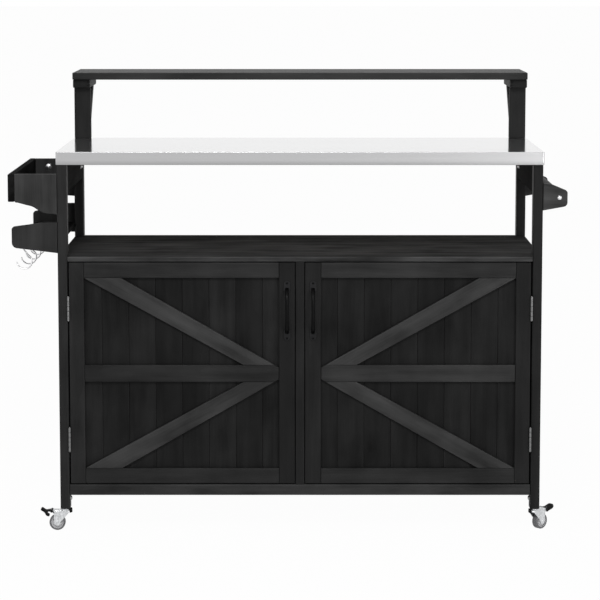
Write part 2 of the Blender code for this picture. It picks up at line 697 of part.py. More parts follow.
def build_hinge(side, level, root, axis, steel):
    """A butt hinge: the leaf on the leg carries the pin, and the leaf on the door turns about it."""
    label = "left" if side < 0 else "right"
    toward = -side
    centre_height = HINGE_HEIGHTS[level]
    segments = hinge_segment_heights(centre_height)
    leaf_start = DOOR_HINGE_GAP / 2 - FIT - HINGE_LEAF_THICKNESS
    leaf_range = (leaf_start, leaf_start + HINGE_LEAF_THICKNESS)
    pin_place = (side * HINGE_AXIS_X, HINGE_AXIS_Y, 0)

    profile = [(0, segments[0][0])]
    for count, (bottom, top) in enumerate(segments):
        radius = HINGE_PIN_RADIUS if count % 2 else HINGE_KNUCKLE_RADIUS
        inset = -FIT if count % 2 else 0.0
        profile += [(radius, bottom + inset), (radius, top - inset)]
    profile.append((0, segments[-1][1]))
    knuckles = turned_mesh(profile, SMALL_ROUND_SIDES)
    frame_leaf = add_mesh(
        f"{label}_{level}_hinge_leg_leaf", knuckles, root, steel, location=pin_place, smooth=True,
    )
    x = side_range(side, *leaf_range)
    own = [segments[count] for count in range(0, HINGE_KNUCKLES, 2)]
    add_leaf(frame_leaf, x, own, centre_height)

    others = [segments[count] for count in range(1, HINGE_KNUCKLES, 2)]
    others = [(bottom + FIT, top - FIT) for bottom, top in others]
    x = side_range(toward, *leaf_range)
    flat, tabs = leaf_shape(x, others, centre_height)
    door_leaf = add_mesh(f"{label}_{level}_hinge_door_leaf", flat, axis, steel, smooth=True)
    bore = HINGE_PIN_RADIUS + FIT
    for count, (height, tab) in enumerate(zip(others, tabs)):
        boolean(door_leaf, "UNION", tab, f"tab_{count}")
        ring = turned_mesh(
            [(bore, height[0]), (HINGE_KNUCKLE_RADIUS, height[0]), (HINGE_KNUCKLE_RADIUS, height[1]),
             (bore, height[1])],
            SMALL_ROUND_SIDES,
        )
        boolean(door_leaf, "UNION", ring, f"knuckle_{count}")


def add_leaf(item, x, heights, centre_height):
    """Join a leaf's flat and tabs onto its knuckles."""
    flat, tabs = leaf_shape(x, heights, centre_height)
    boolean(item, "UNION", flat, "flat")
    for count, tab in enumerate(tabs):
        boolean(item, "UNION", tab, f"tab_{count}")


def build_doors(root, wood, dark_wood, iron, steel):
    for side in (-1, 1):
        axis = build_door(side, root, wood, dark_wood)
        build_pull(side, axis, iron)
        for level in HINGE_HEIGHTS:
            build_hinge(side, level, root, axis, steel)


def build_upper_shelf(root, wood):
    """The shelf behind the worktop, its two uprights and the bracket at each end."""
    box(
        "upper_shelf", root, wood, (-CART_WIDTH / 2, CART_WIDTH / 2), (SHELF_FRONT, SHELF_BACK),
        (SHELF_UNDERSIDE, SHELF_HEIGHT),
    )
    arm_top = ARM_BOTTOM + ARM_HEIGHT
    arm_front = SHELF_FRONT + ARM_FRONT_SETBACK
    arm_back = SHELF_BACK - ARM_BACK_SETBACK
    strut_start = CART_DEPTH + FIT
    strut_low = ARM_BOTTOM - STRUT_RISE
    strut_step = STRUT_THICKNESS * math.sqrt(2)
    outline = [
        (arm_front, ARM_BOTTOM),
        (strut_start + STRUT_RISE - strut_step, ARM_BOTTOM),
        (strut_start, strut_low + strut_step),
        (strut_start, strut_low),
        (strut_start + STRUT_RISE, ARM_BOTTOM),
        (arm_back, ARM_BOTTOM),
        (arm_back, arm_top),
        (arm_front, arm_top),
    ]
    inner = CART_WIDTH / 2 - UPRIGHT_WIDTH
    for side, label in ((-1, "left"), (1, "right")):
        box(
            f"{label}_upright", root, wood, side_range(side, inner, CART_WIDTH / 2 - UPRIGHT_INSET),
            (UPRIGHT_FRONT, CART_DEPTH), (WORKTOP_HEIGHT + FIT, ARM_BOTTOM - FIT),
        )
        x = side_range(side, inner, CART_WIDTH / 2)
        prism(f"{label}_shelf_bracket", root, wood, outline, "x", x[0], x[1])


def rack_place(outline):
    """Points given as (distance from the leg, height), placed at the left end of the cart."""
    return [(-CART_WIDTH / 2 - away, up) for away, up in outline]


def upper_rack_outline():
    """An end panel of the spice rack, drawn in below to meet the fascia."""
    end = RACK_REACH - RACK_BOARD - FIT
    fascia_bottom = RACK_TOP - RACK_FASCIA_HEIGHT
    drop = fascia_bottom - RACK_ROOT_BOTTOM
    curve = [(end * away, fascia_bottom - drop * down) for away, down in RACK_LOWER_CURVE]
    return [(FIT, RACK_TOP), (end, RACK_TOP), (end, fascia_bottom), *curve, (FIT, RACK_ROOT_BOTTOM)]


def lower_rack_outline():
    """An end panel of the lower rack: tall at the leg, lower at its rounded end."""
    upper, lower = LOWER_RACK_UPPER_CORNER, LOWER_RACK_LOWER_CORNER
    end = LOWER_RACK_REACH
    top = arc((end - upper, LOWER_RACK_END_TOP - upper), upper, 90, 0, CORNER_STEPS)
    bottom = arc((end - lower, LOWER_RACK_END_BOTTOM + lower), lower, 0, -90, CORNER_STEPS)
    rise = LOWER_RACK_ROOT_TOP - LOWER_RACK_END_TOP
    curve = [(end * away, LOWER_RACK_END_TOP + rise * up) for away, up in LOWER_RACK_UPPER_CURVE]
    return [(FIT, LOWER_RACK_ROOT_BOTTOM), (FIT, LOWER_RACK_ROOT_TOP), *curve, *top, *bottom]


def build_rack_ends(root, wood, outline, label, rear_drop=0.0):
    """The same end panel at the front and at the back of the cart, where it may sit lower."""
    for name, front, drop in (("front", 0.0, 0.0), ("rear", CART_DEPTH - RACK_BOARD, rear_drop)):
        placed = [(x, up - drop) for x, up in rack_place(outline)]
        prism(f"{label}_{name}_end", root, wood, placed, "y", front, front + RACK_BOARD)


def build_spice_rack(root, wood):
    """End panels, fascia and tray at the top, and a second rack with a board below."""
    build_rack_ends(root, wood, upper_rack_outline(), "spice_rack")
    build_rack_ends(root, wood, lower_rack_outline(), "lower_rack", LOWER_RACK_REAR_DROP)
    outer = CART_WIDTH / 2
    box(
        "spice_rack_fascia", root, wood, (-outer - RACK_REACH, -outer - RACK_REACH + RACK_BOARD),
        (0.0, CART_DEPTH), (RACK_TOP - RACK_FASCIA_HEIGHT, RACK_TOP),
    )
    between = (RACK_BOARD + FIT, CART_DEPTH - RACK_BOARD - FIT)
    box(
        "spice_rack_tray", root, wood, (-outer - RACK_REACH + RACK_BOARD + FIT, -outer - FIT), between,
        (RACK_TRAY_BOTTOM, RACK_TRAY_BOTTOM + RACK_TRAY_THICKNESS),
    )
    box(
        "lower_rack_board", root, wood, (-outer - LOWER_RACK_REACH + LOWER_RACK_UPPER_CORNER, -outer - FIT),
        between, (LOWER_RACK_BOARD_BOTTOM, LOWER_RACK_BOARD_BOTTOM + RACK_TRAY_THICKNESS),
    )


def hook_path():
    """A hook's wire in the XZ plane, from its strip down, round the bowl and up to the tip."""
    bowl = (HOOK_BOWL_SHIFT, -HOOK_DROP + HOOK_BOWL_RADIUS)
    start = (0.0, HOOK_STRIP_THICKNESS / 2)
    return [start, *HOOK_SHANK, *arc(bowl, HOOK_BOWL_RADIUS, 30, -175, ARC_STEPS)]


def wire_rings(path, radius, y, sides):
    """Rings of points round a wire that follows a path in the XZ plane."""
    rings = []
    for count, (across, up) in enumerate(path):
        before = path[max(count - 1, 0)]
        after = path[min(count + 1, len(path) - 1)]
        along = Vector((after[0] - before[0], after[1] - before[1])).normalized()
        ring = []
        for step in range(sides):
            angle = 2 * math.pi * (step + 0.5) / sides
            out = radius * math.cos(angle)
            ring.append((across - along.y * out, y + radius * math.sin(angle), up + along.x * out))
        rings.append(ring)
    return rings


def build_hooks(root, chrome):
    """A thin strip under the lower rack's board, with a row of wire hooks."""
    x = -CART_WIDTH / 2 - HOOK_FROM_POST
    top = LOWER_RACK_BOARD_BOTTOM - FIT
    bottom = top - HOOK_STRIP_THICKNESS
    middle = CART_DEPTH / 2
    half = HOOK_SPACING * (HOOK_COUNT - 1) / 2 + HOOK_STRIP_WIDTH
    row = box(
        "hook_row", root, chrome, (x - HOOK_STRIP_WIDTH / 2, x + HOOK_STRIP_WIDTH / 2),
        (middle - half, middle + half), (bottom, top),
    )
    path = [(x + across, bottom + up) for across, up in hook_path()]
    for count in range(HOOK_COUNT):
        y = middle + HOOK_SPACING * (count - (HOOK_COUNT - 1) / 2)
        wire = swept_mesh(wire_rings(path, HOOK_WIRE_RADIUS, y, WIRE_SIDES))
        boolean(row, "UNION", wire, f"hook_{count}")


def towel_bracket_outline():
    """A tapered bracket with a rounded end, as (distance from the leg, height)."""
    end = TOWEL_REACH
    upper, lower = TOWEL_UPPER_CORNER, TOWEL_LOWER_CORNER
    shoulder = (TOWEL_SHOULDER[0], TOWEL_ROOT_TOP - TOWEL_SHOULDER[1])
    top = arc((end - upper, TOWEL_END_TOP - upper), upper, 68, 0, CORNER_STEPS)
    bottom = arc((end - lower, TOWEL_END_BOTTOM + lower), lower, 0, -80, CORNER_STEPS)
    return [(FIT, TOWEL_ROOT_BOTTOM), (FIT, TOWEL_ROOT_TOP), shoulder, *top, *bottom]


def build_towel_rail(root, wood):
    """Two brackets on the right legs, the rear one a little lower, with a round bar between them."""
    thickness = TOWEL_BRACKET_THICKNESS
    for name, front, drop in (("front", 0.0, 0.0), ("rear", CART_DEPTH - thickness, TOWEL_REAR_DROP)):
        outline = [(CART_WIDTH / 2 + away, up - drop) for away, up in towel_bracket_outline()]
        prism(f"towel_{name}_bracket", root, wood, outline, "y", front, front + thickness)
    bar = cylinder_mesh(
        TOWEL_BAR_RADIUS, thickness + FIT, CART_DEPTH - thickness - FIT, ROUND_SIDES, "y",
        centre=(CART_WIDTH / 2 + TOWEL_BAR_FROM_POST, 0, TOWEL_BAR_HEIGHT),
    )
    add_mesh("towel_bar", bar, root, wood, smooth=True)


def cheek_outline(braked):
    """One side of a fork, as (distance behind the stem, height). A braked one has an ear for the pedal."""
    axle = (CASTER_TRAIL, WHEEL_RADIUS)
    boss = arc(axle, CHEEK_BOSS_RADIUS, 10, -190, ARC_STEPS)
    upper = CROWN_BOTTOM + CROWN_THICKNESS / 2
    lower = CROWN_BOTTOM + MM
    front = [(-CHEEK_FRONT, lower), (-CHEEK_FRONT, upper)]
    if braked:
        ear = (PEDAL_PIVOT_FROM_STEM, PEDAL_PIVOT_HEIGHT)
        back = [(CHEEK_BACK, upper), *arc(ear, EAR_RADIUS, 90, -90, CORNER_STEPS)]
    else:
        back = [(CHEEK_BACK, upper), (CHEEK_BACK, lower)]
    return boss + front + back


def crown_outline():
    """The fork's top from above, round at the front and square at the back."""
    half = CHEEK_OUTER
    front = arc((-CROWN_FRONT + half, 0), half, 90, 270, ARC_STEPS)
    return front + [(CROWN_BACK, -half), (CROWN_BACK, half)]


def build_fork(name, swivel, zinc, braked):
    """A fork with its stem, race, crown, two cheeks and axle."""
    race_top = CASTER_HEIGHT - FIT
    stem_top = CASTER_HEIGHT + STEM_LENGTH
    profile = [
        (0, CROWN_BOTTOM + CROWN_THICKNESS / 2),
        (RACE_RADIUS, CROWN_BOTTOM + CROWN_THICKNESS / 2),
        (RACE_RADIUS, race_top),
        (STEM_RADIUS, race_top),
        (STEM_RADIUS, stem_top),
        (0, stem_top),
    ]
    fork = add_mesh(f"{name}_fork", turned_mesh(profile, ROUND_SIDES), swivel, zinc, smooth=True)
    crown = prism_mesh(crown_outline(), "z", CROWN_BOTTOM, CROWN_TOP)
    boolean(fork, "UNION", crown, "crown")
    for sign, label in ((-1, "left"), (1, "right")):
        y = side_range(sign, CHEEK_INNER, CHEEK_OUTER)
        boolean(fork, "UNION", prism_mesh(cheek_outline(braked), "y", y[0], y[1]), f"{label}_cheek")
    reach = CHEEK_OUTER + MM
    axle = cylinder_mesh(
        AXLE_RADIUS, -reach, reach, SMALL_ROUND_SIDES, "y", centre=(CASTER_TRAIL, 0, WHEEL_RADIUS),
    )
    boolean(fork, "UNION", axle, "axle")


def build_wheel(name, swivel, rubber):
    """A wheel with rounded shoulders, a recessed face and a bore for the axle."""
    half = WHEEL_WIDTH / 2
    face = half - WHEEL_HUB_RECESS
    bore = AXLE_RADIUS + FIT
    shoulder = WHEEL_RADIUS - WHEEL_BEVEL
    rim = shoulder - WHEEL_RIM_WIDTH
    side = [(bore, half), (WHEEL_HUB_RADIUS, half), (WHEEL_HUB_RADIUS, face), (rim, face), (rim, half)]
    side += [(shoulder, half), (WHEEL_RADIUS, half - WHEEL_BEVEL)]
    profile = side + [(radius, -across) for radius, across in reversed(side)]
    axis = empty(f"{name}_wheel_axis", (CASTER_TRAIL, 0, WHEEL_RADIUS), swivel)
    add_mesh(f"{name}_wheel", turned_mesh(profile, ROUND_SIDES, "y"), axis, rubber, smooth=True)


def stroke(path, widths):
    """The outline of a flat bar along a path, with its own width at each point."""
    left = []
    right = []
    for count, (point, width) in enumerate(zip(path, widths)):
        before = path[max(count - 1, 0)]
        after = path[min(count + 1, len(path) - 1)]
        along = Vector((after[0] - before[0], after[1] - before[1])).normalized()
        offset = (-along.y * width / 2, along.x * width / 2)
        left.append((point[0] + offset[0], point[1] + offset[1]))
        right.append((point[0] - offset[0], point[1] - offset[1]))
    return left + right[::-1]


def build_pedal(name, swivel, plastic):
    """A brake pedal on its pin: a thin arm out to the tip, and a thick one back to the shoe.

    The points of both are measured from the pin, away from the stem and up.
    """
    place = (PEDAL_PIVOT_FROM_STEM, 0, PEDAL_PIVOT_HEIGHT)
    axis = empty(f"{name}_brake_axis", place, swivel)
    half = PEDAL_WIDTH / 2
    arm = stroke(PEDAL_ARM, PEDAL_ARM_WIDTHS)
    shoe = stroke(PEDAL_SHOE, PEDAL_SHOE_WIDTHS)
    pedal = prism(f"{name}_brake_pedal", axis, plastic, arm, "y", -half, half)
    boolean(pedal, "UNION", prism_mesh(shoe, "y", -half, half), "shoe")
    hub = cylinder_mesh(PEDAL_PIVOT_RADIUS, -half, half, SMALL_ROUND_SIDES, "y")
    boolean(pedal, "UNION", hub, "hub")
    pin_reach = CHEEK_INNER - FIT
    pin = cylinder_mesh(PEDAL_PIN_RADIUS, -pin_reach, pin_reach, SMALL_ROUND_SIDES, "y")
    boolean(pedal, "UNION", pin, "pin")


def build_casters(root, zinc, rubber, plastic):
    for name, (side, rear, trail_angle) in CASTERS.items():
        place = (*caster_place(side, rear), 0)
        swivel = empty(f"{name}_swivel_axis", place, root, math.radians(trail_angle))
        braked = name in BRAKED
        build_fork(name, swivel, zinc, braked)
        build_wheel(name, swivel, rubber)
        if braked:
            build_pedal(name, swivel, plastic)


def main():
    clear_scene()
    frame_wood = material("black_frame_wood", (0.030, 0.029, 0.028), 0.55)
    plank_wood = material("black_plank_wood", (0.018, 0.017, 0.017), 0.6)
    steel = material("brushed_steel", (0.55, 0.55, 0.55), 0.3, 1.0)
    chrome = material("bright_metal", (0.7, 0.7, 0.7), 0.2, 1.0)
    zinc = material("zinc_plate", (0.55, 0.56, 0.57), 0.35, 1.0)
    iron = material("black_iron", (0.02, 0.02, 0.02), 0.4, 0.6)
    board = material("wood_board", (0.35, 0.25, 0.16), 0.8)
    rubber = material("grey_tread", (0.12, 0.12, 0.12), 0.6)
    plastic = material("black_plastic", (0.02, 0.02, 0.02), 0.4)

    root = empty("cart", (-CENTRE_X, -CENTRE_Y, 0))
    build_legs(root, frame_wood)
    build_worktop(root, steel, board)
    build_aprons(root, frame_wood)
    build_cabinet(root, frame_wood, plank_wood)
    build_catches(root, zinc)
    build_doors(root, frame_wood, plank_wood, iron, chrome)
    build_upper_shelf(root, frame_wood)
    build_spice_rack(root, frame_wood)
    build_hooks(root, chrome)
    build_towel_rail(root, frame_wood)
    build_casters(root, zinc, rubber, plastic)
    bpy.context.view_layer.update()


main()
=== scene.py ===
"""Serving cart: its visible pieces, their finishes and the stage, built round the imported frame.

Lengths are in metres. Cart coordinates have X from the cart's centre line to the right, Y from the front
face of the legs to the back, and Z up from the floor.
"""

import math
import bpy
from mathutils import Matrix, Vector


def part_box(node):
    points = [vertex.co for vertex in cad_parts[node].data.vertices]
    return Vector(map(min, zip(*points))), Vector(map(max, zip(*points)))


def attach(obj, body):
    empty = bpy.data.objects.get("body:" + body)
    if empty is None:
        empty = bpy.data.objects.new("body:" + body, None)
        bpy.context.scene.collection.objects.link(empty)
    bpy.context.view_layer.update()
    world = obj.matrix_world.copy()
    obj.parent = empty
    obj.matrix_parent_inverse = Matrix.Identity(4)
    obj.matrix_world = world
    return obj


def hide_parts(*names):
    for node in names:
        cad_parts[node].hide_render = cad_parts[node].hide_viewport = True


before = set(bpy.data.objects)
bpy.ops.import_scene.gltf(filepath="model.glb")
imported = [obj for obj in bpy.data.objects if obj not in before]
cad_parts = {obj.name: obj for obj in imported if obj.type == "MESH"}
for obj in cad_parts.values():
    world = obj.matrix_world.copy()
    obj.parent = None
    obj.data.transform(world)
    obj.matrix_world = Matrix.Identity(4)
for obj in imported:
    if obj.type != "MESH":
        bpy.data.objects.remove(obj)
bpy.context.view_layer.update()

import zlib

import bpy
import numpy as np
from bpy.props import FloatProperty, FloatVectorProperty, PointerProperty
from mathutils import Matrix

bl_info = {
    "name": "Serving cart",
    "version": (1, 0, 0),
    "blender": (4, 5, 0),
    "location": "3D View > Sidebar > Cart",
    "description": "Builds a wooden serving cart with a steel worktop on the bodies of its frame",
    "category": "Object",
}

MM = 0.001
FIT = 0.3 * MM  # between pieces that touch
LEAST = 0.4 * MM  # the least rounding or half width
# For each axis, the columns of X, Y, Z across it, up from it and along it
AXES = {"x": (1, 2, 0), "y": (0, 2, 1), "z": (0, 1, 2)}
SIDES = {"left": -1, "right": 1}
CORNERS = ("front_left", "front_right", "rear_left", "rear_right")
WEAR = 0.12  # how much a long edge's rounding changes along it
SHARP_ANGLE = 35  # degrees at an edge that isn't shaded smooth

# Sizes that the frame's boxes don't give
HINGE_STILE = 37.3 * MM
LATCH_STILE = 39.8 * MM
DOOR_RAIL = 38.5 * MM
MIDDLE_RAIL = 42.3 * MM
BRACE_WIDTH = 42.6 * MM
BRACE_FOOT = 88 * MM  # from the latch side, on the middle rail
BRACE_WIDER_AT_TOP = 3 * MM
ARROW_TIP = (11.5 * MM, 6 * MM)  # length and fall of the slope at the rail's end
PLANK_PITCH = 66.5 * MM
PLANKS = 8
PLANK_END = 0.8 * MM  # rounding of the door planks' ends
TOP_BOARDS = 4
SIDE_BOARDS = 6
BACK_BOARDS = 16
FLOOR_BOARDS = 4
SHELF_BOARDS = 2
SHELF_SHADE_REACH = 50 * MM  # how far in from each end the shelf is painted darker, as shade over its arms
PULL_PLATE = (17 * MM, 2.5 * MM, 28 * MM)  # width, thickness and length
PULL_GRIP = (9.5 * MM, 7 * MM)  # width and thickness
PULL_INSET = 4 * MM  # from a plate's middle to the grip's end
PULL_SCREW = (2.8 * MM, 0.7 * MM)  # radius and height
HINGE_KNUCKLES = 5
HINGE_LEAF = (1 * MM, 18 * MM)  # thickness and depth
HINGE_LEAF_FROM_PIN = 0.2 * MM
HINGE_BORE = 1.5 * MM  # radius, like the pin's and its heads'
HINGE_PIN = 1.4 * MM
HINGE_PIN_HEAD = 2.2 * MM
HINGE_SCREW = (2.6 * MM, 0.12 * MM)  # radius and height
STRUT_RISE = 94 * MM  # along the arm, from the upright
STRUT_THICKNESS = 22 * MM
STRUT_LET_IN = 2.5 * MM  # depth of the strut's end in the arm
ARM_SIZE = 22 * MM
ARM_SCREW = (1.9 * MM, 0.8 * MM)  # radius and height
# Places on the curve as shares of its width and drop
RACK_CURVE = ((0.0, 0.0), (0.28, 0.10), (0.44, 0.34), (0.58, 0.62), (0.76, 0.78), (1.0, 1.0))
RACK_DROP = 31.5 * MM
HOOK_SPACING = 100 * MM
HOOK_COUNT = 5
HOOK_WIRE = 1.7 * MM
HOOK_BOWL = 19 * MM
HOOK_DROP = 55.5 * MM  # from the strip to the bowl's lowest point
HOOK_FROM_LEG = 90.6 * MM
HOOK_STRIP = (7 * MM, 3 * MM)  # half its width, and its thickness
# Places on the sweep as shares of its width and drop
LOWER_RACK_SWEEP = ((0.0, 0.0), (0.2, 0.02), (0.36, 0.10), (0.60, 0.55), (0.80, 0.82), (0.93, 1.0))
LOWER_RACK_END = (11 * MM, 54 * MM)  # drop and height of the rounded end
LOWER_RACK_REAR_LIFT = 10 * MM
TOWEL_END = (17 * MM, 42 * MM)  # drop and height of the rounded end
STEM_RADIUS = 5 * MM
STEM_LENGTH = 28 * MM
FORK_HALF = 10.8 * MM  # half its width
FORK_NOSE = -15.4 * MM  # its blunt end, from the stem
FORK_SHEET = 1.8 * MM
FORK_BEND = 3.2 * MM  # outer radius of the fold
FORK_BOSS = 7.5 * MM  # radius of the sheet round the axle
FORK_LIP = 46.6 * MM  # greatest height of the sheet's edge
FORK_SHADE_SPREAD = {"left": 62, "right": 30}  # degrees to either side of the blunt end that a black sheet of painted shade covers
CROWN = (46 * MM, 52 * MM)  # bottom and top
WHEEL_HALF = 8.5 * MM
PEDAL_PIN = (35.3 * MM, 49.5 * MM)  # from the stem, and up
PEDAL_HALF = 7 * MM
APRON_BOLT = (0.415, 0.883)  # Y and Z in cart coordinates
LEG_BOLTS = ((0.019, 0.0815), (0.481, 0.0815))
RACK_BOLT = (69.7 * MM, 21 * MM)  # from the leg, and down from the top

# How much paler or darker than its finish a board is, as a share. Besides each board's own tone, these
# hold painted light and shade: boards lying across are painted paler where the top light catches them,
# upright boards darker, and the front towel bracket paler than the rear one as if lit from the right
TONES_WITH_PAINTED_LIGHT = {
    "left leg": -0.43, "right leg": -0.56, "apron": -0.75, "side planks": -0.4, "bottom rail": 0.19,
    "centre post": -0.7, "left planks": 0.05, "right planks": -0.3, "left hinge stile": -0.43,
    "right hinge stile": -0.58, "latch stile": -0.68, "lower rail": -0.28, "upper rail": -0.14,
    "left middle rail": -0.3, "right middle rail": 0.05, "upper brace": 0.6, "lower brace": 0.4,
    "pull plate": 7.5, "shelf": -0.02, "shelf end": -0.5, "upright": -0.47, "bracket": -0.6,
    "rack board": -0.7, "spice rack end": 0.6, "lower rack end": -0.08, "towel front": 1.1,
    "towel rear": 0.4, "towel bar": -0.3,
}

# Each lamp's place and target in the frame, and its size
LAMPS = {
    "key": ((2.5, -4.5, 1.1), (0.4, 0, 0.7), 1.8),
    "fill": ((-3.2, -2.8, 1.6), (-0.3, 0, 0.7), 2.0),
    "top": ((-0.3, -4.2, 3.6), (0, 0, 0.5), 1.3),
}
FLOOR_REACH = 80.0  # from the middle to each side


def box(node):
    """A node's lowest and highest corners as an array."""
    return np.array(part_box(node), float)


LEGS = np.array([box(f"{corner}_leg") for corner in CORNERS])
HOME = np.array([LEGS[:, :, 0].mean(), LEGS[:, :, 1].min(), 0.0])


def cart(x, y, z):
    """A point in cart coordinates, in the frame's own."""
    return HOME + (x, y, z)


# Shapes

# How far each of a corner's five points lies on the paler edge, for four corners. The paler edge is partly wear
# and partly a painted highlight
CORNERS_PALE_EDGE = np.tile((0, 0.8, 1, 0.8, 0), 4)


def seeded(words):
    """A source of random numbers that gives the same ones each run."""
    return np.random.default_rng(zlib.crc32(words.encode()))


class Surface:
    """Points and faces of closed surfaces. On wood each point has the board's grain, heart line and tone,
    and edge tells how far it lies on a paler edge, which is partly wear and partly a painted highlight.
    """

    def __init__(self, points, faces):
        self.points = points.reshape(-1, 3)
        self.faces = faces
        self.grain = np.zeros_like(self.points)
        self.heart = np.zeros_like(self.points)
        self.tone = np.zeros(len(self.points))
        self.edge = np.zeros(len(self.points))
        if volume(self.points, faces) < 0:
            self.faces = [face[:, ::-1] for face in faces]

    def sawn(self, along, seed, tone=0.0):
        """Mark the surface as a board: its fibres' direction, a heart line some way from its middle, and how
        much paler or darker than its finish it is.
        """
        random = seeded(seed)
        along = np.asarray(along, float) / np.linalg.norm(along)
        away = random.normal(size=3)
        away -= along * (away @ along)
        middle = (self.points.min(0) + self.points.max(0)) / 2
        heart = middle + away / np.linalg.norm(away) * random.uniform(0.02, 0.09)
        self.grain[:] = along
        self.heart[:] = heart + along * random.uniform(-9, 9)
        self.tone[:] = tone + random.uniform(-0.08, 0.08)
        return self

    def paled(self, rows, columns):
        """Mark points as paler edges, by a share for each row and each column of the grid. The paleness is partly
        wear and partly a painted highlight.
        """
        share = np.maximum(np.asarray(rows, float)[:, None], columns)
        self.edge[:share.size] = share.ravel()
        return self

    def turned_to(self, angle, place):
        """The surface turned about Z and then moved."""
        c, s = math.cos(angle), math.sin(angle)
        self.points = self.points @ np.array([[c, s, 0], [-s, c, 0], [0, 0, 1]]) + place
        return self


def volume(points, faces):
    """Six times the enclosed volume: each face is a fan of triangles, and a . (b x c) is added up."""
    total = 0.0
    for group in faces:
        loops = points[group]
        total += (loops[:, :1] * np.cross(loops[:, 1:-1], loops[:, 2:])).sum()
    return total


def placed(across, up, along, axis):
    """Numbers across, up and along an axis, put in the order X, Y, Z."""
    across, up, along = np.broadcast_arrays(across, up, along)
    points = np.empty(across.shape + (3,))
    for values, column in zip((across, up, along), AXES[axis]):
        points[..., column] = values
    return points


def quads(row, rows, columns):
    """The faces from these rows of a grid to the next. After the last row or column comes the first."""
    row, column = row[:, None], np.arange(columns)
    ahead, after = (row + 1) % rows, (column + 1) % columns
    corners = np.broadcast_arrays(
        row * columns + column, row * columns + after, ahead * columns + after, ahead * columns + column,
    )
    return np.stack(corners, -1).reshape(-1, 4)


def carried(sections):
    """Rows of points, each row a closed section, joined into a tube with flat ends."""
    rows, columns = sections.shape[:2]
    first = np.arange(columns)[None]
    sides = quads(np.arange(rows - 1), rows, columns)
    return Surface(sections, [sides, first[:, ::-1], first + (rows - 1) * columns])


def mirrored(side):
    """A profile followed by its own mirror image in reverse order."""
    side = np.asarray(side, float)
    return np.concatenate([side, (side * (1, -1))[::-1]])


def turned(profile, axis, centre, sides):
    """A profile of (radius, distance along the axis) turned round it.

    The point at angle a is radius * cos a across, radius * sin a up and the distance along. A profile
    from the axis to the axis ends in a pole at each end; any other one closes on itself.
    """
    profile = np.asarray(profile, float)
    angle = np.arange(sides) * 2 * np.pi / sides
    poles = profile[0, 0] == 0
    rings = profile[1:-1] if poles else profile
    radius, distance = rings[:, :1], rings[:, 1:]
    points = placed(radius * np.cos(angle), radius * np.sin(angle), distance, axis).reshape(-1, 3)
    count = len(rings)
    faces = [quads(np.arange(count - 1 if poles else count), count, sides)]
    if poles:
        column, last, first = np.arange(sides), (count - 1) * sides, np.full(sides, len(points))
        after = (column + 1) % sides
        faces.append(np.stack([first, after, column], -1))
        faces.append(np.stack([first + 1, last + column, last + after], -1))
        points = np.concatenate([points, placed(0.0, 0.0, profile[[0, -1], 1], axis)])
    return Surface(points + centre, faces)


def rounded_rectangle(half_across, half_up, radius, steps=4):
    """Four quarter circles, one in each corner. Each size may be a row of numbers, for a row of sections."""
    sizes = np.broadcast_arrays(*(np.asarray(size, float) for size in (half_across, half_up, radius)))
    half_across, half_up, radius = (size[..., None, None] for size in sizes)
    angle = (np.arange(4)[:, None] + np.linspace(0, 1, steps + 1)) * np.pi / 2
    sign_across = np.array([1, -1, -1, 1])[:, None]
    sign_up = np.array([1, 1, -1, -1])[:, None]
    across = sign_across * (half_across - radius) + radius * np.cos(angle)
    up = sign_up * (half_up - radius) + radius * np.sin(angle)
    shape = across.shape[:-2] + (-1,)
    return across.reshape(shape), up.reshape(shape)


def end_rounding(length, end, steps=3):
    """Distances along a bar with the amount it is drawn in there: an arc of radius end at both ends.

    At angle a from the side the arc is end * (1 - sin a) from the end and drawn in end * (1 - cos a).
    """
    angle = np.linspace(np.pi / 2, 0, steps + 1)
    from_end = end * (1 - np.sin(angle))
    drawn_in = end * (1 - np.cos(angle))
    middle = np.linspace(end, length - end, max(2, int(length / 0.06)))[1:-1]
    distance = np.concatenate([from_end, middle, length - from_end[::-1]])
    inset = np.concatenate([drawn_in, np.zeros(len(middle)), drawn_in[::-1]])
    return distance, inset


def uneven(distance, edge, wear, seed):
    """A rounding that changes slowly along a board by the share wear.

    The change is the mean of three sine waves, which have their own lengths and starts.
    """
    random = seeded(seed)
    waves = random.uniform(0, 2 * np.pi, 3) + distance[:, None] * random.uniform(8, 40, 3)
    return edge * (1 + wear * np.sin(waves).mean(1))


def board(low, high, along, edge, end=None, wear=WEAR, seed="board", tone=0.0):
    """A board between two corners: a rounded rectangle carried along the grain, drawn in at both ends."""
    low, high = np.asarray(low, float), np.asarray(high, float)
    column_across, column_up, column = AXES[along]
    size, middle = high - low, (low + high) / 2
    end = min(edge, 1.2 * MM) if end is None else end
    distance, inset = end_rounding(size[column], end)
    half_across, half_up = size[column_across] / 2 - inset, size[column_up] / 2 - inset
    radius = np.maximum(uneven(distance, edge, wear, seed) - inset, 0.1 * MM)
    across, up = rounded_rectangle(
        half_across, half_up, np.minimum(radius, np.minimum(half_across, half_up) * 0.98),
    )
    sections = placed(
        across + middle[column_across], up + middle[column_up], (low[column] + distance)[:, None], along,
    )
    made = carried(sections).paled((inset > 0) & (inset < 0.9 * end), CORNERS_PALE_EDGE)
    return made.sawn(np.eye(3)[column], seed, tone)


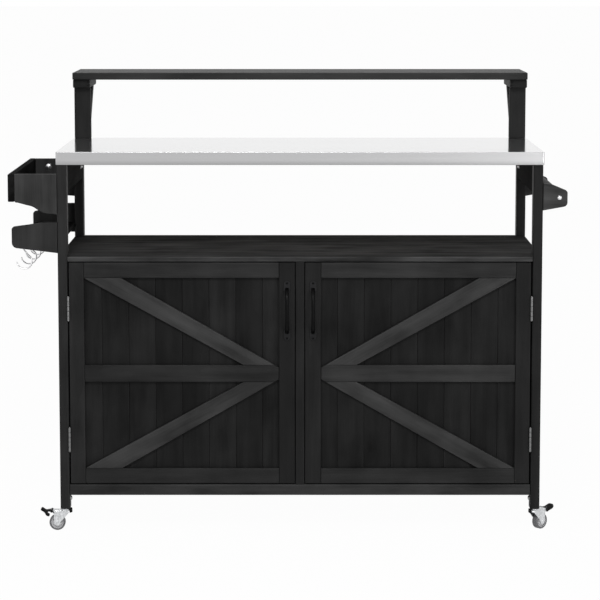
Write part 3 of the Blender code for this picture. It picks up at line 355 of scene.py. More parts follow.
def slab(outline, axis, start, end, edge=0.0, grain=None, seed="slab", tone=0.0):
    """A flat outline pushed along an axis from start to end, its two faces drawn in by an arc of radius edge.

    A point of the outline moves inwards along (a + b) / (1 + a . b), where a and b are the inward normals
    of the sides that meet there.
    """
    outline = np.asarray(outline, float)
    ahead = np.roll(outline, -1, 0) - outline
    turn = np.sign((outline[:, 0] * ahead[:, 1] - outline[:, 1] * ahead[:, 0]).sum())
    normal = turn * np.stack([-ahead[:, 1], ahead[:, 0]], 1) / np.linalg.norm(ahead, axis=1, keepdims=True)
    before = np.roll(normal, 1, 0)
    inward = (before + normal) / (1 + (before * normal).sum(1, keepdims=True))
    distance, inset = np.array([0.0, end - start]), np.zeros(2)
    if edge:
        distance, inset = end_rounding(end - start, edge)
    drawn = outline + inward * inset[:, None, None]
    made = carried(placed(drawn[..., 0], drawn[..., 1], (start + distance)[:, None], axis))
    made.paled((inset > 0) & (inset < 0.9 * edge), np.zeros(len(outline)))
    return made if grain is None else made.sawn(grain, seed, tone)


def arc(centre, radius, start, end, steps=6):
    """Points on an arc from one angle to another, in degrees."""
    angle = np.radians(np.linspace(start, end, steps + 1))
    return np.asarray(centre) + radius * np.stack([np.cos(angle), np.sin(angle)], 1)


def eased(points, radius, steps=4):
    """An open line with a curve in place of each corner between its ends.

    The curve starts and ends the radius away from the corner, and is (1 - t)^2 of its start, 2 t (1 - t)
    of the corner and t^2 of its end.
    """
    points = np.asarray(points, float)
    corner = points[1:-1]
    t = np.linspace(0, 1, steps + 1)[:, None]

    def towards(other):
        """The place the radius away from each corner on the way to the other point, or nearly half way."""
        way = other - corner
        distance = np.linalg.norm(way, axis=1, keepdims=True)
        return (corner + way / distance * np.minimum(radius, distance * 0.49))[:, None]

    curves = (1 - t) ** 2 * towards(points[:-2]) + 2 * t * (1 - t) * corner[:, None] + t ** 2 * towards(points[2:])
    return np.concatenate([points[:1], curves.reshape(-1, points.shape[1]), points[-1:]])


def smooth_line(points, steps):
    """A curve through points in order: between two of them, the cubic that keeps the slopes of its neighbours."""
    points = np.asarray(points, float)
    padded = np.concatenate([2 * points[:1] - points[1:2], points, 2 * points[-1:] - points[-2:-1]])
    a, b, c, d = padded[:-3, None], padded[1:-2, None], padded[2:-1, None], padded[3:, None]
    t = np.linspace(0, 1, steps, endpoint=False)[:, None]
    curve = b + t * (c - a) / 2 + t ** 2 * (a - 2.5 * b + 2 * c - d / 2)
    curve = curve + t ** 3 * (1.5 * (b - c) + (d - a) / 2)
    return np.concatenate([curve.reshape(-1, points.shape[1]), points[-1:]])


def swept(path, in_plane, square, normal, sides=12, corner=1.0):
    """A bar along a path that lies in a plane with this normal.

    Its section is a rounded rectangle with the half size in_plane across the path and square along the
    normal. corner is the rounding as a share of the smaller half, and both halves may change along it.
    """
    path, normal = np.asarray(path, float), np.asarray(normal, float)
    forward = np.gradient(path, axis=0)
    forward /= np.linalg.norm(forward, axis=1, keepdims=True)
    side = np.cross(normal, forward)
    in_plane = np.broadcast_to(in_plane, len(path))
    square = np.broadcast_to(square, len(path))
    radius = np.minimum(in_plane, square) * corner
    across, up = rounded_rectangle(in_plane * 1.0001, square * 1.0001, radius, max(1, sides // 4))
    return carried(path[:, None] + across[..., None] * side[:, None] + up[..., None] * normal)


def travelled(path):
    """How far along a path each of its points lies."""
    step = np.linalg.norm(np.diff(path, axis=0), axis=1)
    return np.concatenate([[0], np.cumsum(step)])


def ended(path, radius, least=0.12):
    """How full a bar is at each point of its path, so that both ends are domes of this radius.

    It is the root of 1 - (1 - n)^2, where n is the distance to the nearest end over the radius, at most 1.
    """
    distance = travelled(path)
    nearest = np.minimum(distance, distance[-1] - distance)
    return np.maximum(np.sqrt(1 - (1 - np.clip(nearest / radius, 0, 1)) ** 2), least)


def with_ends(path, radius, steps=5):
    """A path with extra points close to its two ends, where a dome needs them."""
    distance = travelled(path)
    close = radius * (1 - np.cos(np.linspace(0, np.pi / 2, steps)))
    between = distance[(distance > radius) & (distance < distance[-1] - radius)]
    wanted = np.unique(np.concatenate([close, between, distance[-1] - close]))
    return np.stack([np.interp(wanted, distance, path[:, column]) for column in range(path.shape[1])], 1)


def dome(centre, axis, way, radius, height, sides=24):
    """A domed bolt head on a thin washer, standing on centre and pointing way (1 or -1) along the axis."""
    angle = np.linspace(0, np.pi / 2, 6)
    head = np.stack([radius * np.cos(angle), height * (0.25 + 0.75 * np.sin(angle))], 1)
    head[-1, 0] = 0
    profile = np.concatenate([[(0, 0), (radius * 1.15, 0), (radius * 1.15, height * 0.18)], head])
    profile[:, 1] *= way
    return turned(profile, axis, centre, sides)


def screw(centre, axis, way, radius, height):
    """A flat screw head with an eased rim and a recess in its middle."""
    profile = np.array([
        (0, -height), (radius, -height), (radius, height * 0.5), (radius * 0.85, height),
        (radius * 0.45, height), (radius * 0.3, height * 0.2), (0, height * 0.2),
    ])
    profile[:, 1] *= way
    return turned(profile, axis, centre, 16)


def piece(name, finish, surfaces, replaced=(), body="cart"):
    """Join surfaces into one object that rides on a body and stands for the CAD nodes it replaces.

    Its broad faces keep their own normals. A face's share of end grain is how far it faces along the grain.
    """
    counts = [len(surface.points) for surface in surfaces]
    starts = np.cumsum([0] + counts[:-1])
    points = np.concatenate([surface.points for surface in surfaces])
    faces = [
        face for surface, start in zip(surfaces, starts) for group in surface.faces
        for face in (group + start).tolist()
    ]
    mesh = bpy.data.meshes.new(name)
    mesh.from_pydata(points.tolist(), [], faces)

    def store(label, kind, domain, field, values):
        """Give the mesh an attribute with these values."""
        mesh.attributes.new(label, kind, domain).data.foreach_set(field, values.ravel())

    values = {
        label: np.concatenate([getattr(surface, label) for surface in surfaces])
        for label in ("grain", "heart", "tone", "edge")
    }
    for label in ("grain", "heart"):
        store(label, "FLOAT_VECTOR", "POINT", "vector", values[label])
    for label in ("tone", "edge"):
        store(label, "FLOAT", "POINT", "value", values[label])
    normals = np.empty(len(faces) * 3)
    mesh.polygons.foreach_get("normal", normals)
    along = values["grain"][[face[0] for face in faces]]
    store("end", "FLOAT", "FACE", "value", np.abs((normals.reshape(-1, 3) * along).sum(1)))
    mesh.materials.append(material(finish))
    mesh.shade_smooth()
    mesh.set_sharp_from_angle(angle=math.radians(SHARP_ANGLE))
    made = bpy.data.objects.new(name, mesh)
    bpy.context.collection.objects.link(made)
    made.modifiers.new("normals", "WEIGHTED_NORMAL").keep_sharp = True
    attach(made, body)
    if replaced:
        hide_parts(*replaced)
    return made


# Finishes

class Number:
    """A socket in a material. + - * / on it add Math nodes, and the other methods name their node."""

    def __init__(self, paint, socket):
        self.paint = paint
        self.socket = socket

    def maths(self, operation, *others):
        """A Math node whose first input is this socket."""
        return self.paint.add("ShaderNodeMath", {"operation": operation}, dict(enumerate((self, *others))))

    def vector(self, operation, other=None, scale=None, out=0):
        """A Vector Math node whose first input is this socket."""
        inputs = {0: self, 1: other, "Scale": scale}
        inputs = {key: value for key, value in inputs.items() if value is not None}
        return self.paint.add("ShaderNodeVectorMath", {"operation": operation}, inputs, out)

    def __add__(self, other):
        return self.maths("ADD", other)

    __radd__ = __add__

    def __mul__(self, other):
        return self.maths("MULTIPLY", other)

    def __sub__(self, other):
        return self.maths("SUBTRACT", other)

    def __rsub__(self, other):
        return self.paint.add("ShaderNodeMath", {"operation": "SUBTRACT"}, {0: other, 1: self})

    def __truediv__(self, other):
        return self.maths("DIVIDE", other)

class Paint:
    """The nodes of one material, or of the room."""

    def __init__(self, name, owner=None):
        self.material = owner or bpy.data.materials.new(name)
        self.material.use_nodes = True
        self.tree = self.material.node_tree
        self.shader = self.tree.nodes.get("Principled BSDF")

    def add(self, kind, settings=None, inputs=None, out=0):
        """Add a node: first its settings, then the values or links of its sockets. Gives one output."""
        node = self.tree.nodes.new(kind)
        for key, value in (settings or {}).items():
            if key == "stops":
                set_stops(node.color_ramp, value)
            else:
                setattr(node, key, value)
        for key, value in (inputs or {}).items():
            self.feed(node.inputs[key], value)
        return Number(self, node.outputs[out])

    def feed(self, socket, value):
        """Link a socket to a number's, or give it the value."""
        if isinstance(value, Number):
            self.tree.links.new(value.socket, socket)
        else:
            socket.default_value = value

    def set(self, **values):
        """Set the shader's sockets. A word's underscores stand for spaces."""
        for key, value in values.items():
            self.feed(self.shader.inputs[key.replace("_", " ")], value)

    def place(self):
        """Object coordinates."""
        return self.add("ShaderNodeTexCoord", out="Object")

    def attribute(self, name, out="Fac"):
        """What the mesh says about itself under this name."""
        return self.add("ShaderNodeAttribute", {"attribute_name": name}, out=out)

    def noise(self, vector, scale, detail, roughness=0.5, out=0):
        """Smooth noise, as a level or, with out=1, as a colour."""
        inputs = {"Vector": vector, "Scale": scale, "Detail": detail, "Roughness": roughness}
        return self.add("ShaderNodeTexNoise", None, inputs, out)

    def stretched(self, scale):
        """Object coordinates made closer or wider along each axis."""
        return self.add("ShaderNodeMapping", None, {"Vector": self.place(), "Scale": scale})

    def ramp(self, value, *stops):
        """A value read off a line of (position, value) stops."""
        return self.add("ShaderNodeValToRGB", {"stops": stops}, {0: value})

    def mix(self, factor, first, second):
        """One colour fading into another."""
        return self.add("ShaderNodeMix", {"data_type": "RGBA"}, {0: factor, 6: first, 7: second}, 2)

    def scaled(self, colour, level):
        """A colour made paler or darker by a level that changes over the surface."""
        return self.add("ShaderNodeVectorMath", {"operation": "SCALE"}, {0: tuple(colour), "Scale": level})

    def bump(self, height, distance, strength):
        """Dents and ridges: a height from 0 to 1 stands for the distance."""
        inputs = {"Height": height, "Distance": distance, "Strength": strength}
        self.set(Normal=self.add("ShaderNodeBump", None, inputs))


def set_stops(ramp, stops):
    """Give a ramp its stops, each a position and a grey value."""
    elements = ramp.elements
    while len(elements) < len(stops):
        elements.new(0.5)
    for element, (position, value) in zip(elements, stops):
        element.position = position
        element.color = (value, value, value, 1)


def shade(colour, factor):
    """A colour times a factor, at most 1 in each part, with its alpha."""
    return tuple(min(1.0, part * factor) for part in colour[:3]) + (1.0,)


RING_SPACING = 0.0052  # between two rings of the wood
KNOT_BEND = 0.011  # how far a knot pushes the rings away
GRAIN_SWAY = 0.03  # how far the rings wander
GRAIN_DEPTH = 0.00035  # depth of the grain's grooves


def stained_wood(name, colour, roughness, gloss):
    """Black stained wood: streaks, fibres and pores run along each board, with rings round its heart line.

    A knot is the middle of a cell that is drawn out along the grain, and the rings bend round it. The
    board's tone, its own difference together with painted light and shade, changes its colour; its rounded
    edges are paler, partly as wear and partly as a painted highlight; and its end grain is darker.
    """
    paint = Paint(name)
    grain = paint.attribute("grain", "Vector")
    away = paint.place().vector("SUBTRACT", paint.attribute("heart", "Vector"))
    along = away.vector("DOT_PRODUCT", grain, out=1)
    across = away.vector("SUBTRACT", grain.vector("SCALE", scale=along))

    def drawn_out(share):
        """The place, with its distance along the grain made this share of what it is."""
        return across.vector("ADD", grain.vector("SCALE", scale=along * share))

    cell = paint.add("ShaderNodeTexVoronoi", None, {"Vector": drawn_out(0.4), "Scale": 9.0})
    knot = paint.ramp(cell, (0.04, 1.0), (0.24, 0.0))
    sway = paint.noise(drawn_out(0.22), 9, 2, out=1).vector("SUBTRACT", (0.5, 0.5, 0.5))
    from_heart = across.vector("ADD", sway.vector("SCALE", scale=GRAIN_SWAY)).vector("LENGTH", out=1)
    late = ((from_heart + knot * KNOT_BEND) / RING_SPACING).maths("FRACT").maths("POWER", 3.0)
    fibres = paint.noise(drawn_out(0.02), 620, 3, 0.6)
    pores = paint.ramp(paint.noise(drawn_out(0.02), 1500, 1), (0.62, 0.0), (0.74, 1.0))
    streaks = paint.ramp(paint.noise(drawn_out(0.12), 38, 3), (0.35, 0.0), (0.68, 1.0))
    stain = paint.noise(paint.place(), 7, 3, 0.55)
    level = streaks * 0.7 + stain * 1.9 + fibres * 0.2 + late * 0.14 - pores * 0.2 - knot * knot * 0.45 - 0.4
    # The tone carries painted light and shade, and the paler edges are partly a painted highlight
    level = level * (1 + paint.attribute("tone")) * (1 + paint.attribute("edge") * 0.4)
    level = level * (1 - paint.attribute("end") * 0.45)
    paint.set(Base_Color=paint.scaled(colour, level))
    paint.set(Roughness=roughness + fibres * 0.1 + stain * 0.08 - late * 0.05, Specular_IOR_Level=gloss)
    paint.bump(late * 0.5 + fibres * 0.6 - pores * 0.8, GRAIN_DEPTH, 0.35)
    return paint.material


def brushed_steel(name, colour):
    """Stainless sheet: scratches along X and slight waves; smoother on top with a paler colour there as a painted
    reflection, and painted shade darkening it towards the hem.
    """
    paint = Paint(name)
    bottom, top = box("steel_worktop")[:, 2]
    height = paint.place().vector("DOT_PRODUCT", (0, 0, 1), out=1)
    limits = {"Value": height, "From Min": top - 0.5 * MM, "From Max": top - 0.1 * MM}
    upper = paint.add("ShaderNodeMapRange", None, limits)
    # Painted shade: the fascia's colour gets darker towards the hem at its bottom
    limits = {"Value": height, "From Min": bottom, "From Max": bottom + 11 * MM, "To Min": 0.72, "To Max": 1.0}
    hem_shade = paint.add("ShaderNodeMapRange", None, limits)
    scratches = paint.noise(paint.stretched((1.5, 900, 900)), 1, 3, 0.6)
    waves = paint.noise(paint.place(), 2.2, 1)
    wiped = paint.noise(paint.stretched((3, 9, 9)), 1, 2)
    # Painted reflection: the face gets a paler colour than the folded edge of the same sheet
    blend = paint.mix(upper, (*colour, 1), (*bpy.context.scene.cart_colours.steel_top_with_sheen, 1))
    paint.set(Base_Color=blend.vector("SCALE", scale=hem_shade * (0.93 + scratches * 0.14)))
    paint.set(Metallic=1.0 - upper * 0.05, Roughness=0.24 - upper * 0.17 + scratches * 0.06 + wiped * 0.04)
    paint.bump(waves + scratches * 0.02, 0.0005, 0.35)
    return paint.material


def plain_metal(name, colour, roughness, grit, spread=0.12):
    """Plated metal: a fine grit and larger clouds in its gloss and colour, and soft dents."""
    paint = Paint(name)
    grain = paint.noise(paint.place(), grit, 3, 0.6)
    soft = paint.noise(paint.place(), 60, 2)
    cloud = paint.ramp(paint.noise(paint.place(), 230, 2), (0.35, 0.0), (0.65, 1.0))
    share = grain * 0.4 + cloud * 0.6
    paint.set(Base_Color=paint.mix(share, shade(colour, 1 - spread), shade(colour, 1 + spread)))
    paint.set(Metallic=1.0, Roughness=roughness + grain * 0.1 + soft * 0.06)
    paint.bump(soft + grain * 0.3, 0.00012, 0.5)
    return paint.material


def cast_iron(name, colour):
    """Black iron with a powder coat: a pebbled surface, worn a little brighter here and there. A plate's
    tone paints it paler than the grip as painted light, the upper plate most.
    """
    paint = Paint(name)
    pebbles = paint.noise(paint.place(), 900, 2)
    paled = paint.ramp(paint.noise(paint.place(), 45, 4, 0.65), (0.55, 0.0), (0.75, 1.0))
    paint.set(Base_Color=paint.scaled(colour, (paled + 0.8) * (1 + paint.attribute("tone"))))
    paint.set(Roughness=0.32 - paled * 0.12 + pebbles * 0.06, Specular_IOR_Level=0.07)
    paint.bump(pebbles, 0.00025, 0.5)
    return paint.material


def moulded(name, colour, roughness, gloss):
    """Moulded plastic or rubber with a fine even texture and slight clouding."""
    paint = Paint(name)
    texture = paint.noise(paint.place(), 1400, 2)
    cloud = paint.noise(paint.place(), 55, 2)
    paint.set(Base_Color=paint.mix(cloud, shade(colour, 0.85), shade(colour, 1.15)))
    paint.set(Roughness=roughness + texture * 0.1, Specular_IOR_Level=gloss)
    paint.bump(texture, 0.0001, 0.4)
    return paint.material


def pressed_board(name, colour):
    """The core of the worktop: wood chips pressed into a board."""
    paint = Paint(name)
    inputs = {"Vector": paint.stretched((160, 300, 300)), "Scale": 1.0}
    chips = paint.add("ShaderNodeTexVoronoi", {"feature": "F1"}, inputs, "Color")
    grey = chips.vector("DOT_PRODUCT", (0.33, 0.33, 0.33), out=1)
    paint.set(Base_Color=paint.mix(grey, shade(colour, 0.6), shade(colour, 1.35)))
    paint.set(Roughness=0.8 + grey * 0.1)
    paint.bump(grey, 0.0003, 0.6)
    return paint.material


# Each finish: its pieces' slot, what makes it, its material's name, its colour in the settings, and numbers.
# The last two go on CAD nodes, which keep their own slots.
FINISHES = {
    "frame_wood": ("frame_wood", stained_wood, "frame_wood_black", "frame_wood", 0.5, 0.13),
    "shelf_wood": ("frame_wood", stained_wood, "shelf_wood_black", "frame_wood", 0.46, 0.2),
    "matt_wood": ("frame_wood", stained_wood, "matt_wood_black", "matt_wood", 0.75, 0.01),
    "plank_wood": ("plank_wood", stained_wood, "plank_wood_black", "plank_wood", 0.5, 0.08),
    "brushed_steel": ("worktop_steel", brushed_steel, "worktop_steel_brushed", "steel"),
    "zinc": ("caster_zinc", plain_metal, "caster_zinc_plate", "zinc", 0.26, 900, 0.3),
    "hinge_steel": ("hinge_steel", plain_metal, "hinge_steel_bright", "hinge", 0.2, 1200),
    "chrome": ("hook_chrome", plain_metal, "hook_chrome_bright", "chrome", 0.28, 1500),
    "bolt_steel": ("hinge_steel", plain_metal, "bolt_steel_dark", "bolt", 0.25, 1500),
    "cast_iron": ("pull_iron", cast_iron, "pull_iron_black", "iron"),
    "pedal_plastic": ("pedal_black", moulded, "pedal_plastic_black", "plastic", 0.5, 0.08),
    "hub_plastic": ("wheel_grey", moulded, "wheel_hub_grey", "hub", 0.4, 0.4),
    "tread_rubber": ("wheel_grey", moulded, "wheel_tread_grey", "tread", 0.5, 0.4),
    "pressed_board": (None, pressed_board, "bare_board_chips", "core"),
    "catch_plastic": (None, moulded, "catch_plastic_black", "plastic", 0.45, 0.35),
}
MADE = {}


def material(finish):
    """The material of a finish, made when a piece first asks for it."""
    if finish not in MADE:
        maker, name, colour, *numbers = FINISHES[finish][1:]
        MADE[finish] = maker(name, getattr(bpy.context.scene.cart_colours, colour), *numbers)
    return MADE[finish]


# Settings

def length(name, description, millimetres):
    """A setting in metres, given in millimetres."""
    return FloatProperty(
        name=name, description=description, default=millimetres * MM, min=0.0, unit="LENGTH", precision=4,
    )


def colour(name, description, value):
    """A setting with a colour."""
    return FloatVectorProperty(
        name=name, description=description, default=value, min=0.0, max=1.0, subtype="COLOR", size=3,
    )


class CartSizes(bpy.types.PropertyGroup):
    """Roundings and gaps of the boards, the sheet and the fittings."""

    post_edge: length("Post edge", "Rounding of the legs' and uprights' long edges", 4.2)
    frame_edge: length("Frame edge", "Rounding of the door frames and rails", 2.2)
    shelf_edge: length("Shelf edge", "Rounding of the shelf and cabinet top boards", 2.6)
    plank_edge: length("Plank edge", "Half of the V groove between two planks", 1.5)
    plank_gap: length("Plank gap", "Gap between two planks or boards", 0.3)
    rack_edge: length("Rack edge", "Rounding of the racks' and brackets' outlines", 2.4)
    sheet: length("Sheet", "Thickness of the steel sheet", 0.8)
    fold: length("Fold", "Outer radius of the folds in the steel sheet", 0.95)
    hem: length("Hem", "Width of the hem under the worktop", 10.0)
    sheet_corner: length("Sheet corner", "Rounding of the worktop's four corners", 3.0)
    bolt_radius: length("Bolt radius", "Radius of the domed bolt heads", 6.0)


class CartColours(bpy.types.PropertyGroup):
    """Base colours of the finishes."""

    frame_wood: colour("Frame wood", "Stain of the frame, shelves and racks", (0.0190, 0.0190, 0.0190))
    # Painted light: much paler than the frame's stain, so that the cabinet top in the worktop's shade shows
    # brighter; the aprons and racks bring it back down with darker tones
    matt_wood: colour("Matt wood", "Stain of the boards without gloss", (0.050, 0.050, 0.050))
    plank_wood: colour("Plank wood", "Stain of the planks", (0.0094, 0.0094, 0.0094))
    steel: colour("Steel", "The worktop's folded edge", (0.455, 0.455, 0.46))
    # Paler than the folded edge of the same sheet, as a painted reflection on the worktop's face
    steel_top_with_sheen: colour("Steel top", "The worktop's face", (0.64, 0.64, 0.645))
    zinc: colour("Zinc", "Plate on the casters", (0.60, 0.61, 0.62))
    hinge: colour("Hinge steel", "Knuckles and leaves", (0.17, 0.17, 0.17))
    chrome: colour("Chrome", "The row of hooks", (0.72, 0.72, 0.73))
    bolt: colour("Bolt steel", "Domed bolt heads", (0.30, 0.30, 0.30))
    iron: colour("Iron", "The door pulls", (0.0022, 0.0022, 0.0023))
    plastic: colour("Black plastic", "Pedals, caps and catches", (0.009, 0.009, 0.009))
    hub: colour("Wheel hub", "The wheels' hubs", (0.55, 0.55, 0.56))
    tread: colour("Wheel tread", "The wheels' treads", (0.13, 0.13, 0.135))
    core: colour("Board", "The board in the worktop", (0.36, 0.25, 0.15))


class CartStage(bpy.types.PropertyGroup):
    """Light, floor and camera."""

    ambient: FloatProperty(name="Ambient", description="Strength of the white room", default=0.26, min=0.0)
    key_power: FloatProperty(name="Key", description="Power of the lamp on the right", default=60.0, min=0.0)
    fill_power: FloatProperty(name="Fill", description="Power of the lamp on the left", default=9.0, min=0.0)
    top_power: FloatProperty(
        name="Top", description="Power of the lamp above and in front", default=112.0, min=0.0,
    )
    floor: colour("Floor", "Colour of the floor", (0.94, 0.94, 0.94))
    floor_white: FloatProperty(
        name="Floor white", description="Share of the floor that shows white whatever light falls on it",
        default=0.975, min=0.0, max=1.0,
    )
    lens: FloatProperty(name="Lens", description="Focal length in millimetres", default=144.7, min=1.0)
    camera_away: length("Camera away", "Distance from the legs' front faces", 5923.9)
    camera_up: length("Camera up", "Height above the floor", 1407.0)
    camera_down: FloatProperty(
        name="Camera down", description="How far the camera looks down", default=math.radians(6.757),
        subtype="ANGLE",
    )
    camera_shift: FloatProperty(name="Shift", description="Vertical shift of the picture", default=-0.08)


# Pieces

def post(low, high, edge, bore, depth, seed, tone):
    """A leg: a board carried down to its foot, then in to a round bore and up it."""
    size, middle = high - low, (low + high) / 2
    distance, inset = end_rounding(size[2], 1.2 * MM)
    rounding = uneven(distance, edge, WEAR, seed) - inset
    across, up = rounded_rectangle(size[0] / 2 - inset, size[1] / 2 - inset, rounding)
    from_middle = np.hypot(across[-1], up[-1])
    across = np.concatenate([across, [bore * across[-1] / from_middle] * 2])
    up = np.concatenate([up, [bore * up[-1] / from_middle] * 2])
    height = np.concatenate([high[2] - distance, [low[2], low[2] + depth]])
    sections = placed(across + middle[0], up + middle[1], height[:, None], "z")
    return carried(sections).paled(np.zeros(len(height)), CORNERS_PALE_EDGE).sawn((0, 0, 1), seed, tone)


def boards(node, along, across, cuts, edge, gap, seed, tone=0.0, end=None):
    """Boards side by side over a node's box, each with a tone of its own.

    across is the column of X, Y, Z in which they follow each other, and cuts is how many there are or
    where they meet.
    """
    low, high = box(node)
    if np.ndim(cuts) == 0:
        cuts = np.linspace(low[across], high[across], cuts + 1)
    random = seeded(seed)
    made = []
    for number, (start, stop) in enumerate(zip(cuts, cuts[1:])):
        first, last = low.copy(), high.copy()
        first[across] = start + (gap / 2 if number else 0)
        last[across] = stop - (gap / 2 if number < len(cuts) - 2 else 0)
        own = tone + random.uniform(-0.3, 0.3)
        made.append(board(first, last, along, edge, end, seed=f"{seed}{number}", tone=own))
    return made


def lone_board(node, name, along, edge, seed, tone, finish="frame_wood"):
    """A piece that is one board as large as the node it replaces."""
    piece(name, finish, [board(*box(node), along, edge, seed=seed, tone=tone)], [node])


def cut_board(node, outline, edge, grain, tone):
    """A piece cut to an outline in X and Z and as deep as the node it replaces."""
    low, high = box(node)
    made = slab(outline, "y", low[1], high[1], edge, grain, node, tone)
    piece(f"{node}_board", "frame_wood", [made], [node])


class CART_OT_legs(bpy.types.Operator):
    """Four legs with rounded edges and a bore for each caster's stem"""

    bl_idname = "cart.legs"
    bl_label = "Legs"

    def execute(self, context):
        edge = context.scene.cart_sizes.post_edge
        for corner in CORNERS:
            tone = TONES_WITH_PAINTED_LIGHT[f"{corner.split('_')[1]} leg"]
            leg = post(*box(f"{corner}_leg"), edge, STEM_RADIUS + FIT, STEM_LENGTH + 2 * MM, corner, tone)
            piece(f"{corner}_post", "frame_wood", [leg], [f"{corner}_leg"])
        return {"FINISHED"}


class CART_OT_worktop(bpy.types.Operator):
    """The folded steel worktop and the aprons under its ends"""

    bl_idname = "cart.worktop"
    bl_label = "Worktop"

    def execute(self, context):
        size = context.scene.cart_sizes
        self.sheet(size)
        for label in SIDES:
            node = f"{label}_apron"
            lone_board(node, f"{node}_board", "y", size.frame_edge, f"apron {label}", TONES_WITH_PAINTED_LIGHT["apron"], "matt_wood")
        return {"FINISHED"}

    def sheet(self, size):
        """One profile of inset and height carried round the top: over the fold, down, round and in to the hem, and
        back along the sheet's inside. A fold's point at angle a is radius * (1 - sin a) and radius * (1 - cos a)
        from the two faces.
        """
        low, high = box("steel_worktop")
        middle, half = (low + high) / 2, (high - low) / 2
        angle = np.linspace(0, np.pi / 2, 6)
        by_sine, by_cosine = 1 - np.sin(angle), 1 - np.cos(angle)
        fold, sheet, inner = size.fold, size.sheet, size.fold - size.sheet
        profile = np.concatenate([
            np.stack([fold * by_sine, high[2] - fold * by_cosine], 1),
            np.stack([fold * by_cosine, low[2] + fold * by_sine], 1),
            [(size.hem, low[2]), (size.hem, low[2] + sheet)],
            np.stack([sheet + inner * by_cosine, low[2] + sheet + inner * by_sine], 1)[::-1],
            np.stack([sheet + inner * by_sine, high[2] - sheet - inner * by_cosine], 1)[::-1],
        ])
        inset, height = profile[:, 0], profile[:, 1]
        radius = np.maximum(size.sheet_corner - inset, LEAST)
        across, up = rounded_rectangle(half[0] - inset, half[1] - inset, radius)
        made = carried(placed(across + middle[0], up + middle[1], height[:, None], "z"))
        piece("worktop_sheet", "brushed_steel", [made], ["steel_worktop"])


class CART_OT_cabinet(bpy.types.Operator):
    """The cabinet's top boards, sides, back, floor, bottom rail and centre post"""

    bl_idname = "cart.cabinet"
    bl_label = "Cabinet"

    def execute(self, context):
        size = context.scene.cart_sizes
        edge, gap = size.plank_edge, size.plank_gap
        self.top(size)
        for label in SIDES:
            node, tone = f"{label}_side_panel", TONES_WITH_PAINTED_LIGHT["side planks"]
            made = boards(node, "z", 1, SIDE_BOARDS, edge, gap / 8, f"side {label}", tone)
            piece(f"{label}_side_planks", "frame_wood", made, [node])
        made = boards("back_panel", "z", 0, BACK_BOARDS, edge, gap / 8, "back")
        piece("back_planks", "plank_wood", made, ["back_panel"])
        made = boards("cabinet_floor", "x", 1, FLOOR_BOARDS, edge, gap, "floor")
        piece("floor_boards", "plank_wood", made, ["cabinet_floor"])
        for node, along, share in (("bottom_rail", "x", 1.3), ("centre_post", "z", 1)):
            words = node.replace("_", " ")
            lone_board(node, f"{node}_board", along, size.frame_edge * share, words, TONES_WITH_PAINTED_LIGHT[words])
        return {"FINISHED"}

    def top(self, size):
        """Four boards side by side. The first and last are cut away round the legs."""
        low, high = box("cabinet_top")
        left, right = LEGS[0, 1, 0] + FIT, LEGS[1, 0, 0] - FIT
        cut_front, cut_rear = LEGS[0, 1, 1] + FIT, LEGS[2, 0, 1] - FIT
        cuts = np.linspace(low[1], high[1], TOP_BOARDS + 1)
        gap = size.plank_gap / 2
        outlines = {
            "top front": [
                (left, low[1]), (right, low[1]), (right, cut_front), (high[0], cut_front),
                (high[0], cuts[1] - gap), (low[0], cuts[1] - gap), (low[0], cut_front), (left, cut_front),
            ],
            "top rear": [
                (low[0], cuts[-2] + gap), (high[0], cuts[-2] + gap), (high[0], cut_rear), (right, cut_rear),
                (right, high[1]), (left, high[1]), (left, cut_rear), (low[0], cut_rear),
            ],
        }
        for number in range(1, TOP_BOARDS - 1):
            start, stop = cuts[number] + gap, cuts[number + 1] - gap
            outlines[f"top {number}"] = [(low[0], start), (high[0], start), (high[0], stop), (low[0], stop)]
        made = [
            slab(outline, "z", low[2], high[2], size.frame_edge, (1, 0, 0), seed)
            for seed, outline in outlines.items()
        ]
        # The cabinet top's pale matt stain is painted light against the worktop's shade
        piece("cabinet_top_boards", "matt_wood", made, ["cabinet_top"])


